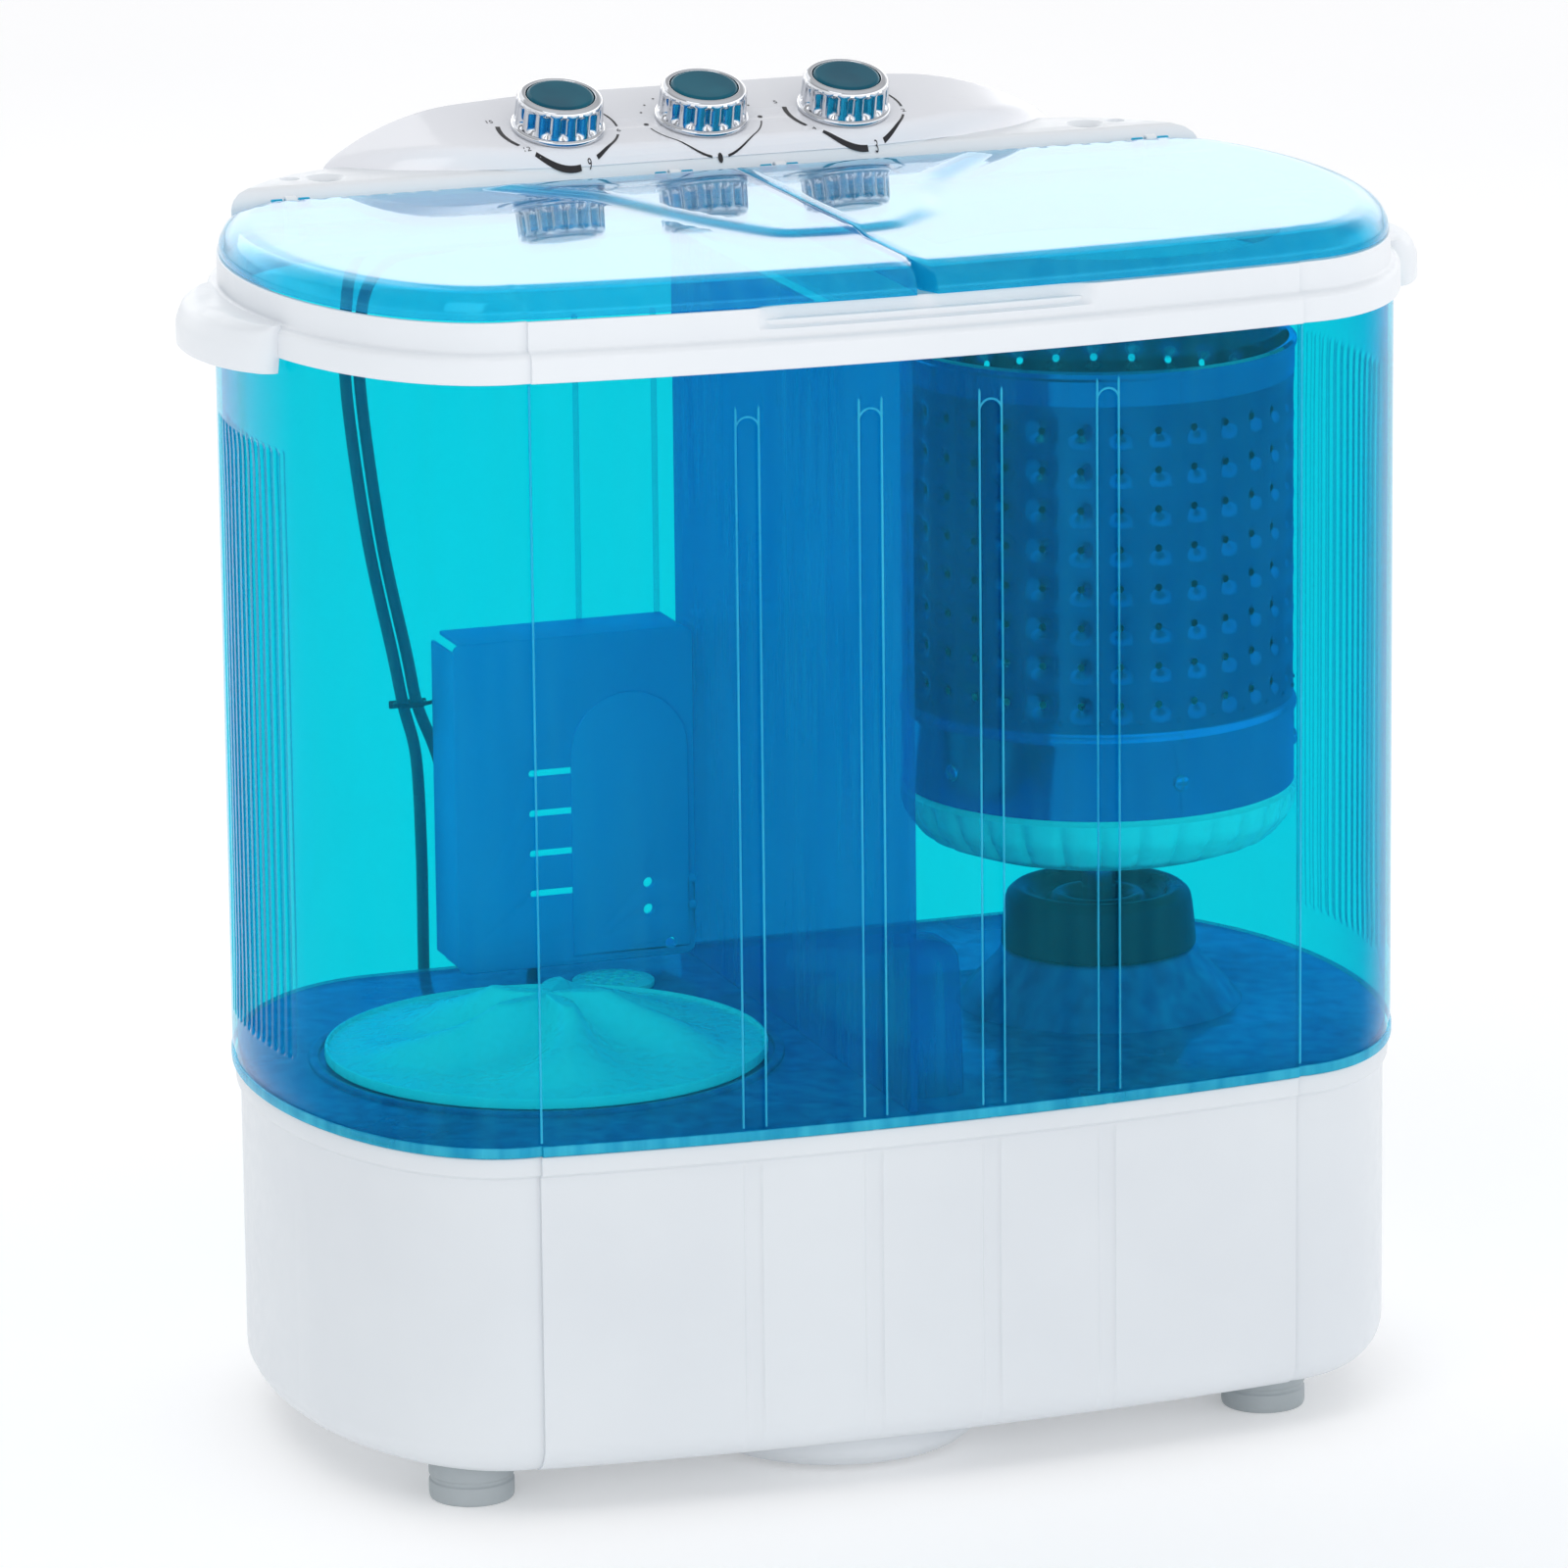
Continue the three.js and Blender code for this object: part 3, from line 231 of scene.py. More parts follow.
def metal(name, light, dark, rough, grain=(1.0, 1.0, 1.0), scale=300.0, relief=0.05):
    """Metal with a grain that runs along the axis whose scale is least."""
    g = Graph(name)
    place = g.stretch(grain)
    lines = g.noise(scale, 4.0, place)
    patch = g.noise(18.0, 3.0)
    shader = g.node(
        "ShaderNodeBsdfPrincipled", Base_Color=g.blend(g.span(patch, 0.0, 1.0), light, dark),
        Roughness=g.span(lines, rough[0], rough[1]), Normal=g.bump(lines, relief, 0.0002))
    shader.inputs["Metallic"].default_value = 1.0
    return g.finish(shader.outputs["BSDF"])


def rubber(name, light, dark, rough=(0.45, 0.65), sheen=0.5):
    g = Graph(name)
    dust = g.noise(22.0, 5.0)
    shader = g.node(
        "ShaderNodeBsdfPrincipled", Base_Color=g.blend(g.span(dust, 0.0, 1.0), dark, light),
        Roughness=g.span(dust, rough[0], rough[1]), Normal=g.bump(g.noise(700.0, 3.0), 0.12, 0.0003))
    shader.inputs["IOR"].default_value = 1.5
    shader.inputs["Specular IOR Level"].default_value = sheen
    return g.finish(shader.outputs["BSDF"])


WHITE = plastic("white_moulding", rgb(232, 236, 240), rgb(225, 230, 235))
BASE_WHITE = plastic("base_moulding", rgb(219, 224, 228), rgb(212, 217, 222))
INNER_WHITE = plastic("inner_moulding", rgb(240, 246, 247), rgb(228, 238, 241), (0.22, 0.35))
OVERLAY = plastic("printed_overlay", rgb(237, 239, 244), rgb(232, 234, 240), (0.12, 0.2), 1400.0, 0.6)
INK = plastic("dial_ink", rgb(22, 22, 26), rgb(34, 34, 40), (0.3, 0.4), 1600.0)
TUB = clear_plastic(
    "tub_clear", (0.12, 0.895, 0.925, 1), rgb(0, 165, 215), 0.04, (0.06, 0.8, 0.9, 1), 0.02, 0.05, 0.75,
    (0.04, 0.5, 0.84, 1))
# Thin strips along the tub's flute edges, corners and foot: a lighter, hazier clear plastic that paints
# highlights where the rounded edges catch the light.
EDGE_PAINTED_HIGHLIGHT = clear_plastic(
    "tub_edge_clear", (0.12, 0.88, 0.94, 1), rgb(20, 190, 232), 0.4, (0.1, 0.82, 0.94, 1), 0.03, 0.1, 0.5)
DIVIDER = clear_plastic(
    "divider_clear", (0.05, 0.58, 0.84, 1), rgb(0, 105, 195), 0.3, (0.03, 0.48, 0.8, 1), 0.015, 0.08, 0.5)
FLOOR_BLUE = clear_plastic(
    "tub_floor_clear", (0.04, 0.46, 0.76, 1), rgb(0, 98, 180), 0.6, (0.02, 0.34, 0.68, 1), 0.02, 0.08, 0.5)
LID = clear_plastic(
    "lid_clear", (0.12, 0.82, 0.93, 1), rgb(0, 150, 222), 0.2, (0.04, 0.68, 0.9, 1), 0.064, 0.03)
COVER_BLUE = plastic("cover_moulding", rgb(0, 168, 236), rgb(0, 154, 224), (0.3, 0.42), 300.0)
CHROME = metal("plated_chrome", (0.68, 0.7, 0.73, 1), (0.58, 0.6, 0.64, 1), (0.04, 0.09), scale=40.0)
# Polished steel for the basket's bead band and rolled rim: smoother than the wall, and lighter in colour as a
# painted highlight.
BAND_STEEL_PAINTED_HIGHLIGHT = metal(
    "polished_band_steel_painted_highlight", (0.62, 0.63, 0.68, 1), (0.5, 0.51, 0.57, 1), (0.08, 0.16), relief=0.01)
# Brushed steel for the basket, with a blue cast in its colour: a painted reflection of the blue tub and
# divider round it.
BASKET_STEEL_PAINTED_BLUE = metal(
    "brushed_basket_steel_painted_blue_reflection", (0.38, 0.37, 0.44, 1), (0.29, 0.29, 0.36, 1), (0.15, 0.25),
    (1.0, 1.0, 0.04), 2600.0, 0.004)
BRIGHT_STEEL = metal("screw_steel", (0.78, 0.79, 0.8, 1), (0.66, 0.68, 0.7, 1), (0.14, 0.26), scale=500.0)
CASTING = metal(
    "bare_casting", (0.36, 0.37, 0.38, 1), (0.24, 0.25, 0.26, 1), (0.5, 0.7), scale=260.0, relief=0.3)
MOTOR = metal(
    "motor_enamel", (0.17, 0.18, 0.19, 1), (0.11, 0.12, 0.13, 1), (0.4, 0.55), scale=120.0, relief=0.1)
BLACK_RUBBER = rubber("black_rubber", (0.016, 0.02, 0.028, 1), (0.007, 0.008, 0.011, 1), (0.25, 0.4), 0.22)
FOOT_RUBBER = rubber("foot_rubber", rgb(172, 180, 184), rgb(156, 165, 169))
# The leads are black, but their colour is lifted to a grey blue: painted light, for the haze that the tub
# wall in front lays over them.
LEAD_PAINTED_HAZE = rubber("lead_sheath", (0.085, 0.12, 0.15, 1), (0.05, 0.08, 0.1, 1))


def cap_material():
    """Clear teal plastic over a dark disc, with a painted highlight: the colour turns lighter round the rim,
    where it is seen edge on.
    """
    g = Graph("cap_teal")
    facing = g.node("ShaderNodeLayerWeight", Blend=0.5).outputs["Facing"]
    depth = g.noise(40.0, 2.0)
    colour = g.blend(g.span(depth, 0.0, 1.0), rgb(4, 92, 112), rgb(0, 74, 96))
    # Painted highlight: the colour lightens to a paler teal where the cap is seen edge on.
    glow = g.blend(g.math("POWER", facing, 5.0), colour, rgb(30, 140, 160))
    shader = g.node("ShaderNodeBsdfPrincipled", Base_Color=glow, Roughness=g.span(depth, 0.06, 0.12))
    shader.inputs["Specular IOR Level"].default_value = 0.12
    shader.inputs["Coat Weight"].default_value = 0.12
    shader.inputs["Coat Roughness"].default_value = 0.03
    return g.finish(shader.outputs["BSDF"])


CAP = cap_material()


# ---- Mesh helpers, all in millimetres ----

def piece(name, vertices, faces, material, body="cabinet", slot="white_shell", nodes=(), sharp=32, flip=True):
    """Makes a mesh piece that rides on a body and stands for the given nodes."""
    mesh = bpy.data.meshes.new(name)
    mesh.from_pydata((np.asarray(vertices, float) * MM).tolist(), [], [list(face) for face in faces])
    mesh.validate()
    work = bmesh.new()
    work.from_mesh(mesh)
    bmesh.ops.remove_doubles(work, verts=work.verts, dist=1e-6)
    if flip:
        bmesh.ops.recalc_face_normals(work, faces=work.faces)
    work.to_mesh(mesh)
    work.free()
    return dress(mesh, name, material, body, slot, nodes, sharp)


def dress(mesh, name, material, body, slot, nodes=(), sharp=32):
    mesh.shade_smooth()
    mesh.set_sharp_from_angle(angle=math.radians(sharp))
    mesh.materials.clear()
    mesh.materials.append(material)
    thing = bpy.data.objects.new(name, mesh)
    bpy.context.scene.collection.objects.link(thing)
    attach(thing, body)
    if nodes:
        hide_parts(*nodes)
    return thing


def rows_to_faces(rows, columns, wrap_rows=False, wrap_columns=True, start=0):
    """The faces of a grid of points, stored row by row."""
    faces = []
    for r in range(rows if wrap_rows else rows - 1):
        above = (r + 1) % rows
        for c in range(columns if wrap_columns else columns - 1):
            beside = (c + 1) % columns
            faces.append((
                start + r * columns + c, start + r * columns + beside,
                start + above * columns + beside, start + above * columns + c))
    return faces


def fillet(points, radius, steps=4):
    """An open outline with its inner corners rounded."""
    points = [np.array(p, float) for p in points]
    out = [points[0]]
    for before, here, after in zip(points, points[1:], points[2:]):
        to_before, to_after = before - here, after - here
        reach = min(radius, 0.45 * np.linalg.norm(to_before), 0.45 * np.linalg.norm(to_after))
        start = here + to_before / np.linalg.norm(to_before) * reach
        end = here + to_after / np.linalg.norm(to_after) * reach
        for k in range(steps + 1):
            t = k / steps
            out.append((1 - t) ** 2 * start + 2 * t * (1 - t) * here + t ** 2 * end)
    return out + [points[-1]]


def fillet_ring(points, radius, steps=4):
    """A closed outline with all its corners rounded."""
    return fillet([points[-1], *points, points[0]], radius, steps)[1:-1]


def lathe_points(profile, segments, x, y, wobble=None):
    vertices = []
    for radius, level in profile:
        for k in range(segments):
            turn = 2 * math.pi * k / segments
            reach, height = (radius, level) if wobble is None else wobble(radius, level, turn)
            vertices.append((x + reach * math.cos(turn), y + reach * math.sin(turn), height))
    return vertices


def lathe(name, profile, material, x, y, segments=64, ring=False, wobble=None, **kinds):
    """A turned piece. A ring's profile closes on itself, and any other starts and ends on the axis."""
    vertices = lathe_points(profile, segments, x, y, wobble)
    faces = rows_to_faces(len(profile), segments, wrap_rows=ring)
    return piece(name, vertices, faces, material, **kinds)


def flat_plate(name, outlines, low, high, material, edge=0.4, shape=None, **kinds):
    """A plate cut to a closed outline, with holes, and with softened edges."""
    curve = bpy.data.curves.new(name, "CURVE")
    curve.dimensions = "2D"
    curve.fill_mode = "BOTH"
    curve.extrude = ((high - low) / 2 - edge) * MM
    curve.bevel_depth = edge * MM
    curve.bevel_resolution = 2
    curve.offset = -edge * MM
    for outline in outlines:
        spline = curve.splines.new("POLY")
        spline.points.add(len(outline) - 1)
        for point, (x, y) in zip(spline.points, outline):
            point.co = (x * MM, y * MM, 0, 1)
        spline.use_cyclic_u = True
    scratch = bpy.data.objects.new(name + "_outline", curve)
    bpy.context.scene.collection.objects.link(scratch)
    mesh = bpy.data.meshes.new_from_object(scratch.evaluated_get(bpy.context.evaluated_depsgraph_get()))
    bpy.data.objects.remove(scratch)
    work = bmesh.new()
    work.from_mesh(mesh)
    bmesh.ops.remove_doubles(work, verts=work.verts, dist=2e-5)
    bmesh.ops.recalc_face_normals(work, faces=work.faces)
    for vertex in work.verts:
        vertex.co.z += (low + high) / 2 * MM
        if shape:
            vertex.co = Vector(shape(vertex.co / MM)) * MM
    work.to_mesh(mesh)
    work.free()
    return dress(mesh, name, material, **{"body": "cabinet", "slot": "white_shell", **kinds})


def circle(radius, x=0.0, y=0.0, count=48, start=0.0):
    return [(x + radius * math.cos(start + 2 * math.pi * k / count),
             y + radius * math.sin(start + 2 * math.pi * k / count)) for k in range(count)]


def rounded_box(name, low, high, radius, material, **kinds):
    """A block with rounded edges."""
    work = bmesh.new()
    bmesh.ops.create_cube(work, size=1.0)
    low, high = np.array(low, float), np.array(high, float)
    for vertex in work.verts:
        vertex.co = Vector(((low + high) / 2 + (high - low) * np.array(vertex.co)) * MM)
    bmesh.ops.bevel(work, geom=work.edges[:], offset=radius * MM, segments=4, profile=0.5, affect="EDGES")
    mesh = bpy.data.meshes.new(name)
    work.to_mesh(mesh)
    work.free()
    return dress(mesh, name, material, **{"body": "cabinet", "slot": "white_shell", **kinds})


def tube(name, points, radius, material, sides=16, **kinds):
    """A round lead or bar along a smooth curve through the given points."""
    curve = bpy.data.curves.new(name, "CURVE")
    curve.dimensions = "3D"
    curve.bevel_depth = radius * MM
    curve.bevel_resolution = sides // 4
    curve.use_fill_caps = True
    spline = curve.splines.new("POLY")
    route = smooth_route(points)
    spline.points.add(len(route) - 1)
    for point, place in zip(spline.points, route):
        point.co = (*(np.array(place) * MM), 1)
    scratch = bpy.data.objects.new(name + "_route", curve)
    bpy.context.scene.collection.objects.link(scratch)
    mesh = bpy.data.meshes.new_from_object(scratch.evaluated_get(bpy.context.evaluated_depsgraph_get()))
    bpy.data.objects.remove(scratch)
    return dress(mesh, name, material, **{"body": "cabinet", "slot": "lead_sheath", **kinds})


def smooth_route(points, steps=8):
    """A Catmull-Rom curve through the points."""
    points = [np.array(p, float) for p in points]
    padded = [2 * points[0] - points[1], *points, 2 * points[-1] - points[-2]]
    out = []
    for a, b, c, d in zip(padded, padded[1:], padded[2:], padded[3:]):
        for k in range(steps):
            t = k / steps
            out.append(0.5 * (2 * b + (c - a) * t + (2 * a - 5 * b + 4 * c - d) * t ** 2
                              + (3 * b - a - 3 * c + d) * t ** 3))
    return out + [points[-1]]


def joined(name, pieces):
    """Joins pieces that share a body into one."""
    first = pieces[0]
    bpy.ops.object.select_all(action="DESELECT")
    for thing in pieces:
        thing.select_set(True)
    bpy.context.view_layer.objects.active = first
    bpy.ops.object.join()
    first.name = name
    first.data.name = name
    return first


# ---- The machine's plan outline ----

def fine_stops(start, end, coarse, centres, half, fine):
    """Places from start to end, coarse on plain stretches and fine round each centre."""
    stops = set(np.linspace(start, end, int((end - start) / coarse) + 1).round(3))
    for centre in centres:
        near = centre + np.arange(-half, half + fine / 2, fine)
        stops = {s for s in stops if abs(s - centre) > half} | set(near.round(3))
    return sorted(s for s in stops if start <= s <= end)


def plan_table():
    """One row a column of wall: x, y, how the outline moves outwards in x and y, and the grooves there."""
    table = []

    def end_section(side, flat, depth, direction, turns):
        for turn in turns:
            cos, sin = math.cos(turn), math.sin(turn)
            width = HALF_WIDTH - flat
            inset = 0.0
            if direction < 0:
                away = (math.pi / 2 - turn) / math.radians(40)
                inset = -CORNER_STEP * max(0.0, 1 - away) ** 2
            along = arc_length(turn, width, depth) * direction
            table.append((
                side * (flat + (width + inset) * cos), CENTRE_Y + direction * (depth + inset) * sin,
                side * cos, direction * sin, "end", along))

    # Front, from left to right.
    xs = fine_stops(-FRONT_FLAT, FRONT_FLAT, 9, FLUTES, 6.6, 0.6)
    for x in xs:
        bow = BOW * (1 - (x / FRONT_FLAT) ** 2)
        table.append((x, CENTRE_Y - FRONT - bow, 0.0, -1.0, "front", x))
    quarter = [math.radians(a) for a in end_angles(HALF_WIDTH - FRONT_FLAT, FRONT)]
    end_section(1, FRONT_FLAT, FRONT, -1, quarter[::-1])
    rear_quarter = [math.radians(a) for a in end_angles(HALF_WIDTH - REAR_FLAT, REAR)]
    end_section(1, REAR_FLAT, REAR, 1, rear_quarter[1:])
    for x in reversed(fine_stops(-REAR_FLAT, REAR_FLAT, 12, BACK_FLUTES, 9, 1.5)[1:-1]):
        table.append((x, CENTRE_Y + REAR, 0.0, 1.0, "back", x))
    end_section(-1, REAR_FLAT, REAR, 1, rear_quarter[::-1])
    end_section(-1, FRONT_FLAT, FRONT, -1, quarter[1:])
    return table


def arc_length(turn, width, depth):
    """How far round the end a place is from the end's middle."""
    turns = np.linspace(0, turn, 24)
    return float(np.hypot(np.diff(width * np.cos(turns)), np.diff(depth * np.sin(turns))).sum())


def end_angles(width, depth):
    """Angles round a quarter of an end: fine where it is reeded, and coarse past that."""
    angles = [0.0]
    while angles[-1] < 89.9:
        turn = math.radians(angles[-1])
        pace = math.hypot(width * math.sin(turn), depth * math.cos(turn))
        step = 0.7 if arc_length(turn, width, depth) < 48 else 5.0
        angles.append(min(90.0, angles[-1] + math.degrees(step / pace)))
        if 90.0 - angles[-1] < 0.3:
            angles[-1] = 90.0
    return angles


PLAN = plan_table()


def stadium(across, level, half, low, high):
    """How far inside a round-ended groove a place is, from 0 at its edge to 1 on its middle line."""
    beyond = max(low - level, 0.0, level - high)
    return max(0.0, 1 - math.hypot(across, beyond) / half)


def groove_depth(kind, along, level, low, high, depth, reeded=True, backed=True):
    """How deep the wall is pressed in at one place."""
    if kind == "front":
        share = max(stadium(along - c, level, FLUTE_HALF, low, high) for c in FLUTES)
        return depth * math.sqrt(1 - (1 - share) ** 4)
    if kind == "end" and reeded:
        share = max(stadium(along - c, level, REED_HALF, 186, 441) for c in REEDS)
        panel = min(1.0, 6 * stadium(along, level, 47.5, 230, 396))
        return 1.7 * math.sqrt(1 - (1 - share) ** 2) + 0.45 * panel
    if kind == "back" and backed:
        share = max(stadium(along - c, level, 6.5, 230, 452) for c in BACK_FLUTES)
        return 2.2 * math.sqrt(1 - (1 - share) ** 2)
    return 0.0


def wall_ring(offset, level, depth_at=None):
    """The plan at one level, moved outwards by an offset and pressed in by the grooves."""
    ring = []
    for x, y, nx, ny, kind, along in PLAN:
        out = offset - (depth_at(kind, along, level) if depth_at else 0.0)
        ring.append((x + nx * out, y + ny * out, level))
    return ring


def wall_shell(name, profile, material, depth_at=None, **kinds):
    """A wall that follows the plan, from a closed profile of [offset, level] points."""
    vertices = [point for offset, level in profile for point in wall_ring(offset, level, depth_at)]
    return piece(name, vertices, rows_to_faces(len(profile), len(PLAN), wrap_rows=True), material, **kinds)


def plain_outline(offset, spacing=4.0):
    """The plan as a plain outline of fewer points, for plates."""
    out = []
    for x, y, nx, ny, _, _ in PLAN:
        here = (x + nx * offset, y + ny * offset)
        if not out or math.dist(here, out[-1]) >= spacing:
            out.append(here)
    return out


# ---- Base ----

def make_base():
    low, top = BASE_LOW[2], BASE_HIGH[2]
    edge, lip = 14, 149.5
    turns = [math.radians(a) for a in range(0, 91, 9)]
    outer = [(BASE_OFFSET - edge + edge * math.sin(t), low + edge - edge * math.cos(t)) for t in turns]
    levels = list(np.linspace(low + edge + 6, lip - 4, 14))
    outer += [(BASE_OFFSET, z) for z in levels]
    outer += fillet([
        (BASE_OFFSET, lip - 3), (BASE_OFFSET, lip), (-1.3, lip + 1), (-1.3, top), (-3.4, top)], 0.9)[1:]
    inner = [(BASE_OFFSET - WALL, top - 1.5), (BASE_OFFSET - WALL, low + edge)]
    inner += [(BASE_OFFSET - edge - 4, low + WALL)]
    def depth(kind, along, level):
        if level < low + 1 or level > lip - 1:
            return 0.0
        fade = min(1.0, (level - low) / 30)
        front = groove_depth(kind, along, level, 0, 400, 0.9, reeded=False, backed=False) * fade
        panel = 0.5 * min(1.0, 4 * stadium(along, level, 47.5, 0, 110)) if kind == "end" else 0.0
        return front + panel
    wall_shell("base_shell", outer + inner, BASE_WHITE, depth, nodes=("base_housing",))


def make_bottom():
    low, high = node_box("bottom_cover")
    boss_x, boss_y, boss_radius = -14, -69, 63
    outline = plain_outline(BASE_OFFSET - 14 - 7.5)
    flat_plate("bottom_plate", [outline], high[2] - 2.2, high[2], BASE_WHITE, 0.5, nodes=("bottom_cover",))
    floor = low[2]
    profile = fillet([
        (0, floor + 1.2), (18, floor + 1.2), (20, floor + 0.2), (boss_radius - 8, floor + 0.2),
        (boss_radius, floor + 7), (boss_radius, high[2] - 1.5), (boss_radius - 3, high[2] - 1),
        (0, high[2] - 1)], 4, 6)
    lathe("centre_boss", profile, BASE_WHITE, boss_x, boss_y, 96)
    ribs = []
    for k in range(9):
        x = -160 + 40 * k
        if abs(x - boss_x) > boss_radius + 6:
            ribs.append(rounded_box(
                f"plate_rib_{k}", (x - 1, -100, 17.6), (x + 1, 100, 20.2), 0.6, BASE_WHITE))
    joined("bottom_ribs", ribs)


def make_foot(node):
    low, high = node_box(node)
    x, y = (low[0] + high[0]) / 2, (low[1] + high[1]) / 2
    radius, top = (high[0] - low[0]) / 2, 19.7
    profile = fillet([
        (0, 1.0), (7, 1.0), (8.5, 0), (radius - 0.6, 0), (radius, 1.8), (radius, 8), (radius - 0.7, 8.6),
        (radius - 0.7, 10), (radius, 10.6), (radius, top), (5, top), (5, high[2]), (0, high[2])], 1.0, 4)
    lathe(node + "_pad", profile, FOOT_RUBBER, x, y, 64, slot="foot_grey", nodes=(node,))


# ---- Tubs ----

def make_tub_walls():
    low, top = TUB_LOW[2], TUB_HIGH[2]
    bands = [
        (low + 8, 184, 8), (184, 190, 1), (190, 436, 22), (436, 446, 1), (446, FLUTE_TOP - 2, 4),
        (FLUTE_TOP - 2, FLUTE_TOP + 6, 0.6), (FLUTE_TOP + 6, top - 4, 5)]
    levels = sorted({round(z, 2) for a, b, s in bands for z in np.arange(a, b, s)})
    def depth(kind, along, level):
        return groove_depth(kind, along, level, low + 4, FLUTE_TOP, 2.0)
    foot = fillet([(-0.9, low), (0.3, low), (0.3, low + 3.2), (-0.4, low + 4.2), (-0.4, low + 7)], 0.5)
    outer = foot + [(-0.1, z) for z in levels] + [(-0.1, top)]
    inner = [(-WALL, top)] + [(-WALL, z) for z in levels[::-1]] + [(-WALL, low)]
    wall_shell("tub_walls", outer + inner, TUB, depth, slot="tub_blue", nodes=("tub_body",))


def front_place(x, level, out=0.0):
    """A place on the front wall."""
    bow = BOW * (1 - (x / FRONT_FLAT) ** 2)
    return (x, CENTRE_Y - FRONT - bow - out, level)


def make_tub_edges():
    """Painted highlights: thin strips of a lighter, hazier clear plastic laid round each flute, down both
    corners and along the foot, where the rounded edges catch the light.
    """
    low = TUB_LOW[2]
    half = FLUTE_HALF + 0.7
    lines = []
    for index, centre in enumerate(FLUTES):
        path = [front_place(centre - half, z, -0.12) for z in (low + 6, 250, 340, FLUTE_TOP)]
        path += [front_place(centre - half * math.cos(t), FLUTE_TOP + half * math.sin(t), -0.12)
                 for t in np.linspace(0, math.pi, 13)[1:-1]]
        path += [front_place(centre + half, z, -0.12) for z in (FLUTE_TOP, 340, 250, low + 6)]
        lines.append(tube(f"flute_edge_{index}", path, 0.5, EDGE_PAINTED_HIGHLIGHT, 8, slot="tub_blue"))
    for side in (-1, 1):
        corner = (side * (FRONT_FLAT + 0.4), CENTRE_Y - FRONT + 0.5)
        path = [(*corner, z) for z in (low + 6, 250, 400, RIM_LOW - 1)]
        lines.append(tube(f"corner_edge_{side}", path, 0.55, EDGE_PAINTED_HIGHLIGHT, 8, slot="tub_blue"))
    joined("tub_edge_highlight_strips", lines)
    ribs = [
        rounded_box(f"back_rib_{k}", (x - 1.1, TUB_HIGH[1] - WALL - 2.6, TUB_FLOOR + 4),
                    (x + 1.1, TUB_HIGH[1] - WALL + 0.4, 452), 0.8, TUB, slot="tub_blue")
        for k, x in enumerate((-54, -18))]
    joined("tub_back_ribs", ribs)
    # The strip along the foot is a painted highlight too.
    foot = fillet_ring([(0.35, low + 0.2), (0.35, low + 4.2), (-0.6, low + 4.6), (-0.6, low + 0.2)], 0.4, 3)
    wall_shell("tub_foot", foot, EDGE_PAINTED_HIGHLIGHT, slot="tub_blue")


def make_tub_floor():
    cone = circle(62, SPIN_X, CENTRE_Y, 72)
    shaft = circle(9, WASH_X, CENTRE_Y, 24)
    flat_plate(
        "tub_floor", [plain_outline(-WALL - 0.3), cone, shaft], TUB_FLOOR - 3, TUB_FLOOR, FLOOR_BLUE, 0.4,
        slot="tub_blue")
    profile = fillet([
        (62.4, TUB_FLOOR - 3), (62.4, TUB_FLOOR - 0.2), (59, TUB_FLOOR + 3), (56.5, TUB_FLOOR + 7),
        (44.5, 182), (42, 187), (28, 187), (14, 187), (14, 184.6), (28, 184.6), (41, 184.6), (43, 181),
        (54, TUB_FLOOR + 6), (57, TUB_FLOOR + 1), (60, TUB_FLOOR - 3)], 2.2, 4)
    lathe("spin_cone", profile, FLOOR_BLUE, SPIN_X, CENTRE_Y, 96, ring=True, slot="tub_blue")
    # The dished ledge round the pulsator.
    dish = fillet([
        (97, TUB_FLOOR), (97, TUB_FLOOR + 1.6), (99.5, TUB_FLOOR + 2.2), (101.5, TUB_FLOOR + 1.6),
        (101.5, TUB_FLOOR)], 0.8, 3)
    lathe("pulsator_ledge", dish, FLOOR_BLUE, WASH_X, CENTRE_Y, 120, ring=True, slot="tub_blue")


def make_divider():
    """The wall between the tubs, with shallow upright ribs."""
    left, right = -9.0, -6.0
    front_y, back_y = TUB_LOW[1] + WALL + 2.6, TUB_HIGH[1] - WALL - 0.2
    ys = np.linspace(front_y, back_y, 180)
    zs = [TUB_FLOOR + 0.2, 168, 175, *np.linspace(190, 470, 15), 478, 482, 485.6]
    def rib(y):
        return 0.12 * max(0.0, math.cos(2 * math.pi * y / 64)) ** 8
    def side(x, sign):
        return [[(x + sign * rib(y), y, z) for y in ys] for z in zs]
    grid = side(left, -1) + side(right, 1)[::-1]
    faces = rows_to_faces(len(grid), len(ys), wrap_rows=True, wrap_columns=False)
    count = len(ys)
    rows = len(grid)
    for column in (0, count - 1):
        for r in range(rows // 2 - 1):
            faces.append(tuple(
                k * count + column for k in (r, r + 1, rows - 2 - r, rows - 1 - r)))
    piece("tub_divider", [p for row in grid for p in row], faces, DIVIDER, slot="tub_blue")


def make_drain_chamber():
    """The box at the divider's foot on the spin side, with a sloping round-cornered top."""
    outline = fillet_ring([(-5.4, -134), (-5.4, -96), (24, -96), (24, -134)], 9, 6)
    rows = []
    for inset, level in (
            (0, TUB_FLOOR), (0, 170), (0.4, 185), (0.8, 200), (1.2, 215), (2.0, 222), (4.5, 225.8),
            (9, 227.2), (14, 227.6)):
        centre = np.array((9.3, -115))
        rows.append([(*(centre + (np.array(p) - centre) * (1 - inset / 19)), level) for p in outline])
    vertices = [p for row in rows for p in row]
    faces = rows_to_faces(len(rows), len(outline))
    faces.append(tuple(range(len(outline)))[::-1])
    faces.append(tuple((len(rows) - 1) * len(outline) + k for k in range(len(outline))))
    piece("drain_chamber", vertices, faces, DIVIDER, slot="tub_blue")


